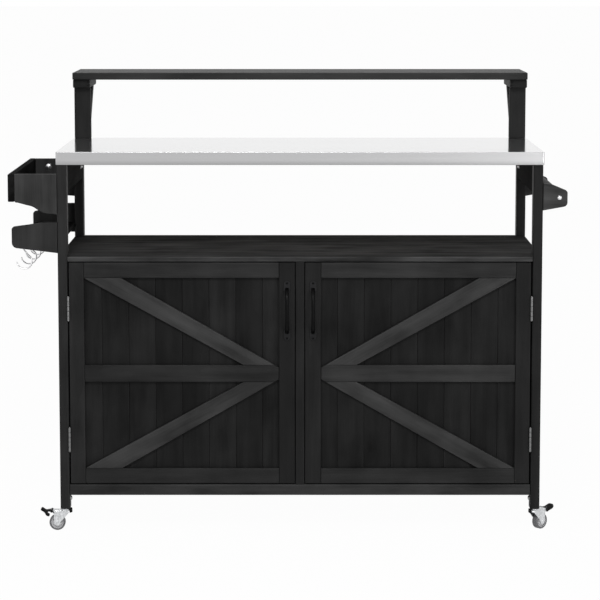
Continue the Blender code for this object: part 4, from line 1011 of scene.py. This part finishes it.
class CART_OT_doors(bpy.types.Operator):
    """Two doors of upright planks, with stiles and rails in front and slanting braces between them"""

    bl_idname = "cart.doors"
    bl_label = "Doors"

    def execute(self, context):
        size = context.scene.cart_sizes
        for label, side in SIDES.items():
            self.frame(label, side, size)
            self.braces(label, side, size)
            node, body, tone = f"{label}_door_planks", f"{label}_door", TONES_WITH_PAINTED_LIGHT[f"{label} planks"]
            low, high = box(node)
            seams = (low[0] + high[0]) / 2 + PLANK_PITCH * (np.arange(PLANKS - 1) - (PLANKS - 2) / 2)
            cuts = np.concatenate([[low[0]], seams, [high[0]]])
            made = boards(node, "z", 0, cuts, size.plank_edge, size.plank_gap, body, tone, PLANK_END)
            piece(f"{label}_door_plank_boards", "plank_wood", made, [node], body)
        return {"FINISHED"}

    def frame(self, label, side, size):
        """Two stiles over the door's height, and two rails between them."""
        node = f"{label}_door_frame"
        low, high = box(node)
        stiles = [(HINGE_STILE, TONES_WITH_PAINTED_LIGHT[f"{label} hinge stile"]), (LATCH_STILE, TONES_WITH_PAINTED_LIGHT["latch stile"])]
        (left_stile, left_tone), (right_stile, right_tone) = stiles[::-side]
        left, right, gap = low[0] + left_stile, high[0] - right_stile, size.plank_gap
        first, last = left + gap, right - gap
        made = [
            board((start[0], low[1], start[1]), (stop[0], high[1], stop[1]), along, size.frame_edge,
                  seed=label + seed, tone=tone)
            for start, stop, along, seed, tone in (
                ((low[0], low[2]), (left, high[2]), "z", "left stile", left_tone),
                ((right, low[2]), (high[0], high[2]), "z", "right stile", right_tone),
                ((first, low[2]), (last, low[2] + DOOR_RAIL), "x", "lower rail", TONES_WITH_PAINTED_LIGHT["lower rail"]),
                ((first, high[2] - DOOR_RAIL), (last, high[2]), "x", "upper rail", TONES_WITH_PAINTED_LIGHT["upper rail"]),
            )
        ]
        piece(f"{label}_door_stiles_rails", "frame_wood", made, [node], f"{label}_door")

    def braces(self, label, side, size):
        """The middle rail, and a brace above and below it from the hinge side's corners."""
        node = f"{label}_door_braces"
        low, high = box(node)
        width, half = high[0] - low[0], (high[2] - low[2]) / 2
        middle, half_rail = (low[2] + high[2]) / 2, MIDDLE_RAIL / 2
        slope = (half - half_rail) / (width - BRACE_FOOT)
        top_end = BRACE_WIDTH * math.hypot(1, slope) / slope + BRACE_WIDER_AT_TOP
        hinge_edge = low[0] if side < 0 else high[0]
        back, cut = ARROW_TIP

        def cut_out(points, grain, words, tone, way=1):
            """A board from points away from the hinge edge and up or, with way -1, down from the middle."""
            outline = [(hinge_edge - side * away, middle + way * up) for away, up in points]
            return slab(outline, "y", low[1], high[1], size.frame_edge, grain, f"{label} {words}", TONES_WITH_PAINTED_LIGHT[tone])

        upper = [(width, half_rail - cut), (width - back, half_rail), (0, half_rail)]
        rail = [(away, -up) for away, up in upper[::-1]] + upper
        made = [cut_out(rail, (1, 0, 0), "middle rail", f"{label} middle rail")]
        foot = half_rail + size.plank_gap
        brace = [(width - BRACE_FOOT, foot), (0, half), (top_end, half), (width - back, foot)]
        for way, tone in ((1, "upper brace"), (-1, "lower brace")):
            made.append(cut_out(brace, (-side, 0, -way * slope), f"brace {way}", tone, way))
        piece(f"{label}_door_rail_braces", "frame_wood", made, [node], f"{label}_door")


class CART_OT_pulls(bpy.types.Operator):
    """A bowed pull with two screwed plates on each door"""

    bl_idname = "cart.pulls"
    bl_label = "Door pulls"

    def execute(self, context):
        for label in SIDES:
            name = f"{label}_door_pull"
            piece(name, "cast_iron", self.pull(label), [f"{label}_pull"], f"{label}_door")
        return {"FINISHED"}

    def pull(self, label):
        """A grip and its two plates. At share s of its half length the grip stands bow * (1 - s^4) off its ends,
        its thickness is 1 - 0.6 s^8 of the full one and its width 1 - 0.18 (1 - s^2).
        """
        low, high = box(f"{label}_pull")
        x, middle, door_face = (low[0] + high[0]) / 2, (low[2] + high[2]) / 2, high[1]
        plate_width, plate_thickness, plate_length = PULL_PLATE
        width, thickness = PULL_GRIP
        half_grip = (high[2] - low[2] - plate_length) / 2
        sunk = plate_thickness / 2
        bow = high[1] - low[1] - thickness / 2 - sunk
        share = np.sin(np.linspace(-np.pi / 2, np.pi / 2, 49))
        path = np.stack([
            np.full_like(share, x), door_face - sunk - bow * (1 - share ** 4),
            middle + (half_grip - PULL_INSET) * share,
        ], 1)
        half_width = width / 2 * (1 - 0.18 * (1 - share ** 2))
        made = [swept(path, thickness / 2 * (1 - 0.6 * share ** 8), half_width, (1, 0, 0), 20)]
        corner = np.array([plate_width / 2, 0, plate_length / 2])
        for way in (1, -1):
            back = np.array([x, door_face, middle + way * half_grip])
            # Painted light: the plates are paler than the grip, and the upper one is paler than the lower as if
            # lit from above
            start, tone = back - corner - (0, plate_thickness, 0), TONES_WITH_PAINTED_LIGHT["pull plate"] + way
            made.append(board(start, back + corner, "y", plate_width * 0.45, 0.9 * MM, 0, label, tone))
            made.append(screw(back + (0, -plate_thickness, way * plate_length * 0.3), "y", -1, *PULL_SCREW))
        return made


class CART_OT_hinges(bpy.types.Operator):
    """Four butt hinges, each with a leaf on the leg, a leaf on the door and knuckles between them"""

    bl_idname = "cart.hinges"
    bl_label = "Hinges"

    def execute(self, context):
        for label, side in SIDES.items():
            for level in ("upper", "lower"):
                name = f"{label}_{level}_hinge"
                low, high = box(f"{name}_leg_leaf")
                radius = (high[0] - low[0]) / 2
                pin = np.array([(low[0] + high[0]) / 2, low[1] + radius])
                cuts = np.linspace(low[2], high[2], HINGE_KNUCKLES + 1)
                leaves = ((0, side, "leg_leaf", "cart"), (1, -side, "door_leaf", f"{label}_door"))
                for first, way, leaf, body in leaves:
                    made = self.knuckles(pin, cuts, first, radius)
                    made += self.leaf(pin, cuts, first, way, radius)
                    piece(f"{name}_{leaf}_plate", "hinge_steel", made, [f"{name}_{leaf}"], body)
        return {"FINISHED"}

    def knuckles(self, pin, cuts, first, radius):
        """Every other knuckle, each a short barrel with eased ends, and the pin's two domed heads."""
        ease, gap, made = 0.5 * MM, FIT / 2, []
        for start, stop in zip(cuts[first:-1:2] + gap, cuts[first + 1::2] - gap):
            made.append([
                (HINGE_BORE, start), (radius - ease, start), (radius, start + ease),
                (radius, stop - ease), (radius - ease, stop), (HINGE_BORE, stop),
            ])
        if first == 0:
            angle = np.linspace(0, np.pi / 2, 5)
            head = np.stack([HINGE_PIN_HEAD * np.cos(angle), HINGE_PIN * np.sin(angle)], 1)
            head[-1, 0] = 0
            made.append(np.concatenate([
                head[::-1] * (1, -1) + (0, cuts[0]), [(HINGE_PIN, cuts[0]), (HINGE_PIN, cuts[-1])],
                head + (0, cuts[-1]),
            ]))
        return [turned(profile, "z", (*pin, 0), 24) for profile in made]

    def leaf(self, pin, cuts, first, way, radius):
        """The flat of a leaf with a tab to each of its knuckles, and three screws. X and Y are from the pin."""
        thickness, depth = HINGE_LEAF
        start, tab = radius + FIT, (HINGE_BORE + radius) / 2
        bottom, top = cuts[0], cuts[-1]
        outline = [(start + depth, bottom), (start + depth, top), (start, top)]
        for upper, lower in zip(cuts[first + 1::2][::-1], cuts[first:-1:2][::-1]):
            upper, lower = upper - FIT * first, lower + FIT * first
            outline += [(start, upper), (tab, upper), (tab, lower), (start, lower)]
        outline = np.array(outline + [(start, bottom)])
        keep = np.abs(outline - np.roll(outline, 1, 0)).max(1) > 1e-7
        x = pin[0] + way * np.array([HINGE_LEAF_FROM_PIN, HINGE_LEAF_FROM_PIN + thickness])
        made = [slab(outline[keep] + (pin[1], 0), "x", *sorted(x))]
        for up, across in ((0.16, 0.45), (0.5, 0.62), (0.84, 0.45)):
            place = (x[0], pin[1] + start + depth * across, bottom + (top - bottom) * up)
            made.append(screw(place, "x", -way, *HINGE_SCREW))
        return made


class CART_OT_upper_shelf(bpy.types.Operator):
    """The shelf behind the worktop, with its uprights, arms and struts"""

    bl_idname = "cart.upper_shelf"
    bl_label = "Upper shelf"

    def execute(self, context):
        size = context.scene.cart_sizes
        low, high = box("upper_shelf")
        edge, gap, tone = size.shelf_edge, size.plank_gap, TONES_WITH_PAINTED_LIGHT["shelf"]
        made = boards("upper_shelf", "x", 1, SHELF_BOARDS, edge, gap, "shelf", tone, edge * 0.7)
        # Painted shade: each shelf board gets darker towards both ends, where the arms sit below
        for plank in made:
            from_end = np.minimum(plank.points[:, 0] - low[0], high[0] - plank.points[:, 0])
            plank.tone += TONES_WITH_PAINTED_LIGHT["shelf end"] * np.clip(1 - from_end / SHELF_SHADE_REACH, 0, 1)
        piece("shelf_boards", "shelf_wood", made, ["upper_shelf"])
        for label, side in SIDES.items():
            node, words = f"{label}_upright", f"upright {label}"
            lone_board(node, f"{node}_post", "z", size.post_edge, words, TONES_WITH_PAINTED_LIGHT["upright"])
            self.bracket(label, side, size)
        return {"FINISHED"}

    def bracket(self, label, side, size):
        """An arm under the shelf, a strut at 45 degrees under it, and two screws in the arm's front end."""
        node, edge, tone = f"{label}_shelf_bracket", size.frame_edge, TONES_WITH_PAINTED_LIGHT["bracket"]
        low, high = box(node)
        bottom, arm_edge = high[2] - ARM_SIZE, size.post_edge * 0.8
        arm = board((low[0], low[1], bottom), high, "y", arm_edge, edge, seed=f"arm {label}", tone=tone)
        back = box(f"{label}_upright")[1][1] + FIT
        step, front = STRUT_THICKNESS * math.sqrt(2), back + STRUT_RISE
        outline = [
            (front - step, bottom + STRUT_LET_IN), (back, low[2] + step), (back, low[2]), (front, bottom),
            (front, bottom + STRUT_LET_IN),
        ]
        strut = slab(outline, "x", low[0] + 1 * MM, high[0] - 1 * MM, edge, (0, 1, 1), f"strut {label}", tone)
        piece(f"{label}_shelf_arm", "frame_wood", [arm, strut], [node])
        x, z = low[0] + 5 * MM if side > 0 else high[0] - 5 * MM, high[2] - ARM_SIZE / 2
        screws = [screw((x, low[1], z + lift * MM), "y", -1, *ARM_SCREW) for lift in (-4.5, 4.5)]
        piece(f"{label}_arm_screws", "cast_iron", screws)


class CART_OT_racks(bpy.types.Operator):
    """The spice rack and the lower rack at the left end, with the row of hooks"""

    bl_idname = "cart.racks"
    bl_label = "Racks and hooks"

    def execute(self, context):
        size = context.scene.cart_sizes
        for end, lift in (("front", 0.0), ("rear", LOWER_RACK_REAR_LIFT)):
            self.upper_end(f"spice_rack_{end}_end", size.rack_edge)
            self.lower_end(f"lower_rack_{end}_end", size.rack_edge, lift)
        for node, name, edge in (
            ("spice_rack_fascia", "spice_rack_front_board", size.rack_edge),
            ("spice_rack_tray", "spice_rack_tray_board", size.plank_edge),
            ("lower_rack_board", "lower_rack_shelf_board", size.rack_edge),
        ):
            lone_board(node, name, "y", edge, node, TONES_WITH_PAINTED_LIGHT["rack board"], "matt_wood")
        self.hooks()
        return {"FINISHED"}

    def upper_end(self, node, edge):
        """An end panel whose lower edge sweeps up from the leg to the fascia."""
        low, high = box(node)
        width = high[0] - low[0]
        curve = [(high[0] - width * away, low[2] + RACK_DROP * up) for away, up in smooth_line(RACK_CURVE, 5)]
        outline = curve + [(low[0], high[2]), (high[0], high[2])]
        cut_board(node, outline, edge, (0, 0, 1), TONES_WITH_PAINTED_LIGHT["spice rack end"])

    def lower_end(self, node, edge, lift):
        """An end panel that is tall at the leg and sweeps down to its rounded end. Its root may be lifted."""
        low, high = box(node)
        drop, tall = LOWER_RACK_END
        end_top, upper, lower = high[2] - drop, 8 * MM, 14 * MM
        sweep = smooth_line(LOWER_RACK_SWEEP, 5)[:-1]
        outline = np.concatenate([
            np.array([high[0], high[2] + lift]) + sweep * (low[0] - high[0], -drop - lift),
            arc((low[0] + upper, end_top - upper), upper, 90, 180),
            arc((low[0] + lower, end_top - tall + lower), lower, 180, 270), [(high[0], low[2] + lift)],
        ])
        cut_board(node, outline, edge, (0, 0, 1), TONES_WITH_PAINTED_LIGHT["lower rack end"])

    def hooks(self):
        """A thin strip with five wires, each from the strip down, round a bowl and up to a domed tip."""
        low, high = box("hook_row")
        half_width, thickness = HOOK_STRIP
        x, bottom, middle = LEGS[0, 0, 0] - HOOK_FROM_LEG, high[2] - thickness, (low[1] + high[1]) / 2
        start, stop = (x - half_width, low[1], bottom), (x + half_width, high[1], high[2])
        made = [board(start, stop, "y", 1.2 * MM, 1.2 * MM, 0, "strip")]
        bowl = arc((3 * MM, HOOK_BOWL - HOOK_DROP), HOOK_BOWL, 30, -175, 13)
        shank = np.array([(0, 1), (0.2, -4), (3, -9), (12, -20)]) * MM
        flat = smooth_line(np.concatenate([shank, bowl]), 4)
        for number in range(HOOK_COUNT):
            y = middle + HOOK_SPACING * (number - (HOOK_COUNT - 1) / 2)
            path = with_ends(np.stack([x + flat[:, 0], np.full(len(flat), y), bottom + flat[:, 1]], 1), HOOK_WIRE)
            full = ended(path, HOOK_WIRE) * HOOK_WIRE
            made.append(swept(path, full, full, (0, 1, 0), 12))
            made.append(dome((x, y + 14 * MM, bottom), "z", -1, 2.6 * MM, 1.4 * MM, 16))
        piece("hook_strip", "chrome", made, ["hook_row"])


class CART_OT_towel_rail(bpy.types.Operator):
    """Two tapered brackets and the round bar at the right end"""

    bl_idname = "cart.towel_rail"
    bl_label = "Towel rail"

    def execute(self, context):
        edge = context.scene.cart_sizes.rack_edge
        for end in ("front", "rear"):
            self.bracket(f"towel_{end}_bracket", edge, TONES_WITH_PAINTED_LIGHT[f"towel {end}"])
        low, high = box("towel_bar")
        radius, ease = (high[0] - low[0]) / 2, 1 * MM
        along = np.linspace(low[1] + ease, high[1] - ease, 12)
        profile = np.concatenate([
            [(0, low[1]), (radius - ease, low[1])], np.stack([np.full(12, radius), along], 1),
            [(radius - ease, high[1]), (0, high[1])],
        ])
        centre = ((low[0] + high[0]) / 2, 0, (low[2] + high[2]) / 2)
        bar = turned(profile, "y", centre, 40).sawn((0, 1, 0), "towel bar", TONES_WITH_PAINTED_LIGHT["towel bar"])
        piece("towel_bar_round", "frame_wood", [bar], ["towel_bar"])
        return {"FINISHED"}

    def bracket(self, node, edge, tone):
        """A bracket that is level at the leg and slopes down to its rounded end."""
        low, high = box(node)
        drop, tall = TOWEL_END
        end_top, upper, lower = high[2] - drop, 8 * MM, 11 * MM
        corner = arc((high[0] - upper, end_top - upper), upper, 68, 0)
        shoulder = [(low[0], high[2]), (low[0] + 22 * MM, high[2] - 3.5 * MM), corner[0]]
        outline = np.concatenate([
            [(low[0], low[2])], eased(shoulder, 9 * MM)[:-1], corner,
            arc((high[0] - lower, end_top - tall + lower), lower, 0, -80),
        ])
        cut_board(node, outline, edge, (1, 0, 0), tone)


class CART_OT_casters(bpy.types.Operator):
    """Four casters: a pressed fork on its race, a wheel with a tread and, in front, a brake pedal"""

    bl_idname = "cart.casters"
    bl_label = "Casters"

    def execute(self, context):
        for number, corner in enumerate(CORNERS):
            stem = LEGS[number].mean(0) * (1, 1, 0)
            low, high = box(f"{corner}_wheel")
            trail = (low + high) / 2 - stem
            angle = math.atan2(trail[1], trail[0])
            away, radius = math.hypot(trail[0], trail[1]), (high[2] - low[2]) / 2
            braked = f"{corner}_brake_pedal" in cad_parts
            self.fork(corner, stem, angle, away, radius, braked)
            self.wheel(corner, stem, angle, away, radius)
            if braked:
                self.pedal(corner, stem, angle)
        return {"FINISHED"}

    def fork(self, corner, stem, angle, away, radius, braked):
        """A sheet folded over the wheel. At each distance from the stem its section is an upturned U.

        The U's lips follow a line from the crown down to the axle's boss, round it and up again. A braked
        fork has an ear on each side for the pedal's pin.
        """
        bottom, top = CROWN
        nose = FORK_NOSE + FORK_HALF
        u = np.concatenate([
            nose - FORK_HALF * np.cos(np.linspace(0.25, np.pi / 2, 9)), np.linspace(-3.2, 13, 9) * MM,
            np.linspace(14.1, 28.7, 17) * MM, np.array([29.3, 30.0, 31.0, 32.0]) * MM,
        ])
        half = np.where(u < nose, np.sqrt(np.maximum(FORK_HALF ** 2 - (u - nose) ** 2, 0)), FORK_HALF)
        boss = radius - np.sqrt(np.maximum(FORK_BOSS ** 2 - (u - away) ** 2, 0))
        beside = FORK_BOSS * 0.985
        lip = np.interp(u, [-9 * MM, 13.9 * MM], [FORK_LIP, radius])
        lip = np.where(np.abs(u - away) < beside, boss, lip)
        lip = np.where(u > away + beside, np.interp(u, [28.9 * MM, 30.4 * MM], [radius + 4 * MM, FORK_LIP]), lip)
        lip = np.minimum(lip, FORK_LIP)
        turn = np.linspace(0, np.pi / 2, 5)

        def half_section(inwards):
            """Points from the lip up the side, round the shoulder and in to the middle."""
            width = np.maximum(half - inwards, LEAST)[:, None]
            shoulder = np.minimum(FORK_BEND - inwards * 0.9, width * 0.9)
            v = np.concatenate([width, width - shoulder * (1 - np.cos(turn))], 1)
            z = np.concatenate([lip[:, None], top - inwards - shoulder * (1 - np.sin(turn))], 1)
            return v, z

        outer_v, outer_z = half_section(0.0)
        inner_v, inner_z = half_section(FORK_SHEET)
        v = np.concatenate([outer_v, -outer_v[:, ::-1], -inner_v, inner_v[:, ::-1]], 1)
        z = np.concatenate([outer_z, outer_z[:, ::-1], inner_z, inner_z[:, ::-1]], 1)
        sheets, caps_and_shade = [carried(np.stack([np.broadcast_to(u[:, None], v.shape), v, z], -1))], []
        if braked:
            pin = np.array(PEDAL_PIN)
            root = [(28 * MM, bottom - 3 * MM), (28 * MM, top - 1.6 * MM)]
            ear = np.concatenate([root, arc(pin, 4 * MM, 90, -90, 8)])
            for way in (-1, 1):
                faces = sorted((way * (FORK_HALF - FORK_SHEET), way * FORK_HALF))
                sheets.append(slab(ear, "y", *faces, LEAST))
                caps_and_shade.append(dome((pin[0], way * FORK_HALF, pin[1]), "y", way, 3.4 * MM, 1.4 * MM))
        race = [
            (0, bottom + 2 * MM), (9.5 * MM, bottom + 2 * MM), (10.6 * MM, top - 0.6 * MM),
            (11.5 * MM, top + 0.4 * MM), (11.5 * MM, top + 1.6 * MM), (10.4 * MM, top + 2.0 * MM),
            (10.4 * MM, top + 2.5 * MM),
            (11.0 * MM, top + 2.9 * MM), (11.0 * MM, top + 3.8 * MM), (10.2 * MM, top + 4.2 * MM),
            (STEM_RADIUS, top + 4.2 * MM), (STEM_RADIUS, top + 4.5 * MM + STEM_LENGTH),
            (0, top + 4.5 * MM + STEM_LENGTH),
        ]
        axle, reach = (away, 0, radius), FORK_HALF
        nut = [
            (0, reach), (4.6 * MM, reach), (4.6 * MM, reach + 1.4 * MM), (3.8 * MM, reach + 2 * MM),
            (0, reach + 2 * MM),
        ]
        axle_parts = [
            turned(mirrored([(0, -reach), (3 * MM, -reach)]), "y", axle, 20),
            dome((away, -reach, radius), "y", -1, 4.0 * MM, 1.3 * MM), turned(nut, "y", axle, 6),
        ]
        # Painted shade: a black sheet round the fork's blunt nose, wider on the left casters, stands for shade
        # that falls there and is no part of the fork
        spread = FORK_SHADE_SPREAD[corner.split("_")[1]]
        blunt = arc((nose, 0), FORK_HALF + 0.8 * MM, 180 - spread, 180 + spread, 12)
        caps_and_shade.append(slab(blunt, "z", bottom - 1.2 * MM, top + 3.6 * MM, 1.2 * MM))
        for part in (*sheets, *axle_parts, *caps_and_shade):
            part.turned_to(angle, stem)
        body = f"{corner}_caster"
        made = [*sheets, turned(race, "z", stem, 40), *axle_parts]
        piece(f"{corner}_fork_sheet", "zinc", made, [f"{corner}_fork"], body)
        piece(f"{corner}_fork_caps", "pedal_plastic", caps_and_shade, body=body)

    def wheel(self, corner, stem, angle, away, radius):
        """A hub with a deep groove in its face and a tread with a crowned face round it."""
        half = WHEEL_HALF
        hub = [
            (3.3 * MM, half), (5.6 * MM, half), (6.4 * MM, half - 1.6 * MM), (10.4 * MM, half - 1.8 * MM),
            (10.8 * MM, half - 5 * MM), (13.4 * MM, half - 5 * MM), (13.8 * MM, half - 0.6 * MM),
            (15.2 * MM, half - 0.9 * MM),
        ]
        turn = np.linspace(0, np.pi / 2, 5)
        shoulder, inner = 3 * MM, radius - 5.4 * MM
        tread = np.concatenate([
            [(inner, half - 1.5 * MM), (inner + 0.8 * MM, half - 0.3 * MM)],
            np.stack([
                radius - shoulder + shoulder * np.sin(turn) - 0.25 * MM * np.cos(turn) ** 2,
                half - shoulder * (1 - np.cos(turn)),
            ], 1),
        ])
        for profile, part, finish, replaced in (
            (hub, "hub", "hub_plastic", [f"{corner}_wheel"]), (tread, "tread", "tread_rubber", []),
        ):
            made = turned(mirrored(profile), "y", (away, 0, radius), 48).turned_to(angle, stem)
            piece(f"{corner}_wheel_{part}", finish, [made], replaced, f"{corner}_roller")

    def pedal(self, corner, stem, angle):
        """A brake pedal: a thin arm from its pin out to the tip, and a thicker one back down to the shoe.

        The right one lies flatter and reaches further.
        """
        arm = [(0, 0), (7, 0), (14, -1), (21, 1.5), (27, 5)]
        shoe = [(27, 5), (20, 0.5), (15, -4), (12, -10), (6, -13)]
        if corner == "front_right":
            arm = [(0, 0), (8, 0.5), (16, 2), (23, 4), (30, 4)]
            shoe = [(30, 4), (25, -1), (18, -3), (12, -5), (6, -8)]
        pin = np.array([PEDAL_PIN[0], 0, PEDAL_PIN[1]])
        made = []
        for line, widths in ((arm, (7, 5, 5, 6.5, 8)), (shoe, (8, 7.5, 7, 6.5, 5.5))):
            line = smooth_line(np.array(line) * MM, 6)
            width = np.interp(np.linspace(0, 4, len(line)), range(5), np.array(widths) * MM)
            path = np.stack([line[:, 0], np.zeros(len(line)), line[:, 1]], 1) + pin
            full = ended(path, 2.4 * MM, 0.3)
            made.append(swept(path, width / 2 * full, PEDAL_HALF * (0.85 + 0.15 * full), (0, 1, 0), 16, 0.7))
        hub = [(0, -PEDAL_HALF), (2.4 * MM, -PEDAL_HALF), (3 * MM, -PEDAL_HALF + 0.6 * MM)]
        made.append(turned(mirrored(hub), "y", pin, 24))
        made.append(turned(mirrored([(0, -8.6 * MM), (1.5 * MM, -8.6 * MM)]), "y", pin, 16))
        made = [surface.turned_to(angle, stem) for surface in made]
        name = f"{corner}_pedal_moulding"
        piece(name, "pedal_plastic", made, [f"{corner}_brake_pedal"], f"{corner}_brake")


class CART_OT_bolts(bpy.types.Operator):
    """Domed bolt heads on the racks, the towel bracket, the aprons and the legs"""

    bl_idname = "cart.bolts"
    bl_label = "Bolt heads"

    def execute(self, context):
        radius = context.scene.cart_sizes.bolt_radius
        dark, bright = [], []
        for number, (label, side) in enumerate(SIDES.items()):
            x = box(f"{label}_apron")[1 - number][0]
            bright.append(dome(self.beside(x, *APRON_BOLT), "x", -side, radius * 0.72, 5 * MM))
            x = LEGS[number, 1 - number, 0]
            dark += [dome(self.beside(x, *bolt), "x", -side, radius, 4.5 * MM) for bolt in LEG_BOLTS]
        away, down = RACK_BOLT
        for end, face, way in (("front", 1, 1), ("rear", 0, -1)):
            corners = box(f"spice_rack_{end}_end")
            place = (corners[1][0] - away, corners[face][1], corners[1][2] - down)
            bright.append(dome(place, "y", way, radius * 1.05, 3.2 * MM))
        bar = box("towel_bar").mean(0)
        for end, face, way in (("front", 0, -1), ("rear", 1, 1)):
            y = box(f"towel_{end}_bracket")[face][1]
            bright.append(dome((bar[0], y, bar[2]), "y", way, radius * 0.7, 3 * MM))
        piece("leg_bolt_heads", "bolt_steel", dark)
        piece("bright_bolt_heads", "chrome", bright)
        return {"FINISHED"}

    def beside(self, x, y, z):
        """A point at this X of the frame, with Y and Z in cart coordinates."""
        return cart(0, y, z) * (0, 1, 1) + (x, 0, 0)


class CART_OT_carried_over(bpy.types.Operator):
    """Finishes of the CAD nodes whose own shape stays: the worktop's board and the catches"""

    bl_idname = "cart.carried_over"
    bl_label = "Board and catches"

    def execute(self, context):
        for node, finish in (
            ("worktop_board", "pressed_board"), ("left_catch", "catch_plastic"), ("right_catch", "catch_plastic"),
        ):
            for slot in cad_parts[node].material_slots:
                slot.material = material(finish)
        return {"FINISHED"}


class CART_OT_stage(bpy.types.Operator):
    """A pale floor, soft lamps, a white room and the camera"""

    bl_idname = "cart.stage"
    bl_label = "Stage"

    def execute(self, context):
        stage = context.scene.cart_stage
        self.floor(stage)
        self.room(context, stage)
        for name, settings in LAMPS.items():
            self.lamp(name, getattr(stage, f"{name}_power"), *settings)
        camera = bpy.data.cameras.new("camera")
        camera.lens = stage.lens
        camera.shift_y = stage.camera_shift
        camera.clip_end = 1000
        held = bpy.data.objects.new("camera", camera)
        context.collection.objects.link(held)
        held.location = cart(0, -stage.camera_away, stage.camera_up)
        held.rotation_euler = (math.pi / 2 - stage.camera_down, 0, 0)
        context.scene.camera = held
        context.scene.view_settings.view_transform = "Standard"
        return {"FINISHED"}

    def seen_white(self, paint):
        """1 on rays from the camera or off gloss or through glass, where the room and floor look white."""
        seen, glossy, through = (
            paint.add("ShaderNodeLightPath", out=f"Is {kind} Ray") for kind in ("Camera", "Glossy", "Transmission")
        )
        return seen.maths("MAXIMUM", glossy).maths("MAXIMUM", through)

    def floor(self, stage):
        """A wide sheet, mostly white of its own and partly lit, so that it keeps the cart's shadow."""
        corners = np.array([(-1, -1, 0), (1, -1, 0), (1, 1, 0), (-1, 1, 0)]) * FLOOR_REACH
        mesh = bpy.data.meshes.new("floor")
        mesh.from_pydata(corners.tolist(), [], [(0, 1, 2, 3)])
        paint = Paint("floor_white")
        paint.set(Base_Color=(*stage.floor, 1), Roughness=0.9, Specular_IOR_Level=0.0)
        white = paint.add("ShaderNodeEmission", None, {"Color": (1, 1, 1, 1), "Strength": 1.0})
        lit = Number(paint, paint.shader.outputs[0])
        share = self.seen_white(paint) * stage.floor_white
        mixed = paint.add("ShaderNodeMixShader", None, {0: share, 1: lit, 2: white})
        output = paint.tree.nodes["Material Output"]
        paint.feed(output.inputs[0], mixed)
        mesh.materials.append(paint.material)
        made = bpy.data.objects.new("floor", mesh)
        bpy.context.collection.objects.link(made)

    def room(self, context, stage):
        """A white room that lights plainly and shows at full white in gloss and behind the cart."""
        world = bpy.data.worlds.new("room")
        paint = Paint("room", world)
        background = paint.tree.nodes["Background"]
        background.inputs["Color"].default_value = (1, 1, 1, 1)
        paint.feed(background.inputs["Strength"], self.seen_white(paint) * (1 - stage.ambient) + stage.ambient)
        context.scene.world = world

    def lamp(self, name, power, place, target, size):
        """A soft square lamp that faces a target."""
        light = bpy.data.lights.new(name, "AREA")
        light.energy = power
        light.size = size
        held = bpy.data.objects.new(name, light)
        bpy.context.collection.objects.link(held)
        back = np.subtract(place, target) / np.linalg.norm(np.subtract(place, target))
        side = np.cross((0, 1, 0) if abs(back[2]) > 0.95 else (0, 0, 1), back)
        side /= np.linalg.norm(side)
        turn = np.stack([side, np.cross(back, side), back], 1)
        held.matrix_world = Matrix.Translation(place) @ Matrix(turn.tolist()).to_4x4()


class CART_PT_panel(bpy.types.Panel):
    """Every builder of the cart, with its sizes and colours"""

    bl_idname = "CART_PT_panel"
    bl_label = "Serving cart"
    bl_space_type = "VIEW_3D"
    bl_region_type = "UI"
    bl_category = "Cart"

    def draw(self, context):
        for operator in OPERATORS:
            self.layout.operator(operator.bl_idname)
        for group in (context.scene.cart_sizes, context.scene.cart_colours, context.scene.cart_stage):
            section = self.layout.box()
            for key in group.__annotations__:
                section.prop(group, key)


OPERATORS = (
    CART_OT_legs, CART_OT_worktop, CART_OT_cabinet, CART_OT_doors, CART_OT_pulls, CART_OT_hinges,
    CART_OT_upper_shelf, CART_OT_racks, CART_OT_towel_rail, CART_OT_casters, CART_OT_bolts,
    CART_OT_carried_over, CART_OT_stage,
)
GROUPS = {"cart_sizes": CartSizes, "cart_colours": CartColours, "cart_stage": CartStage}


def register():
    """Register the classes and give the scene its settings."""
    for made in (*GROUPS.values(), *OPERATORS, CART_PT_panel):
        bpy.utils.register_class(made)
    for name, group in GROUPS.items():
        setattr(bpy.types.Scene, name, PointerProperty(type=group))


def unregister():
    """Take the settings and classes away again, last first."""
    for name in GROUPS:
        delattr(bpy.types.Scene, name)
    for made in (CART_PT_panel, *reversed(OPERATORS), *reversed(GROUPS.values())):
        bpy.utils.unregister_class(made)


def main():
    """Run every operator in order."""
    register()
    for operator in OPERATORS:
        group, name = operator.bl_idname.split(".")
        getattr(getattr(bpy.ops, group), name)()
    bpy.context.view_layer.update()


if __name__ == "__main__":
    main()
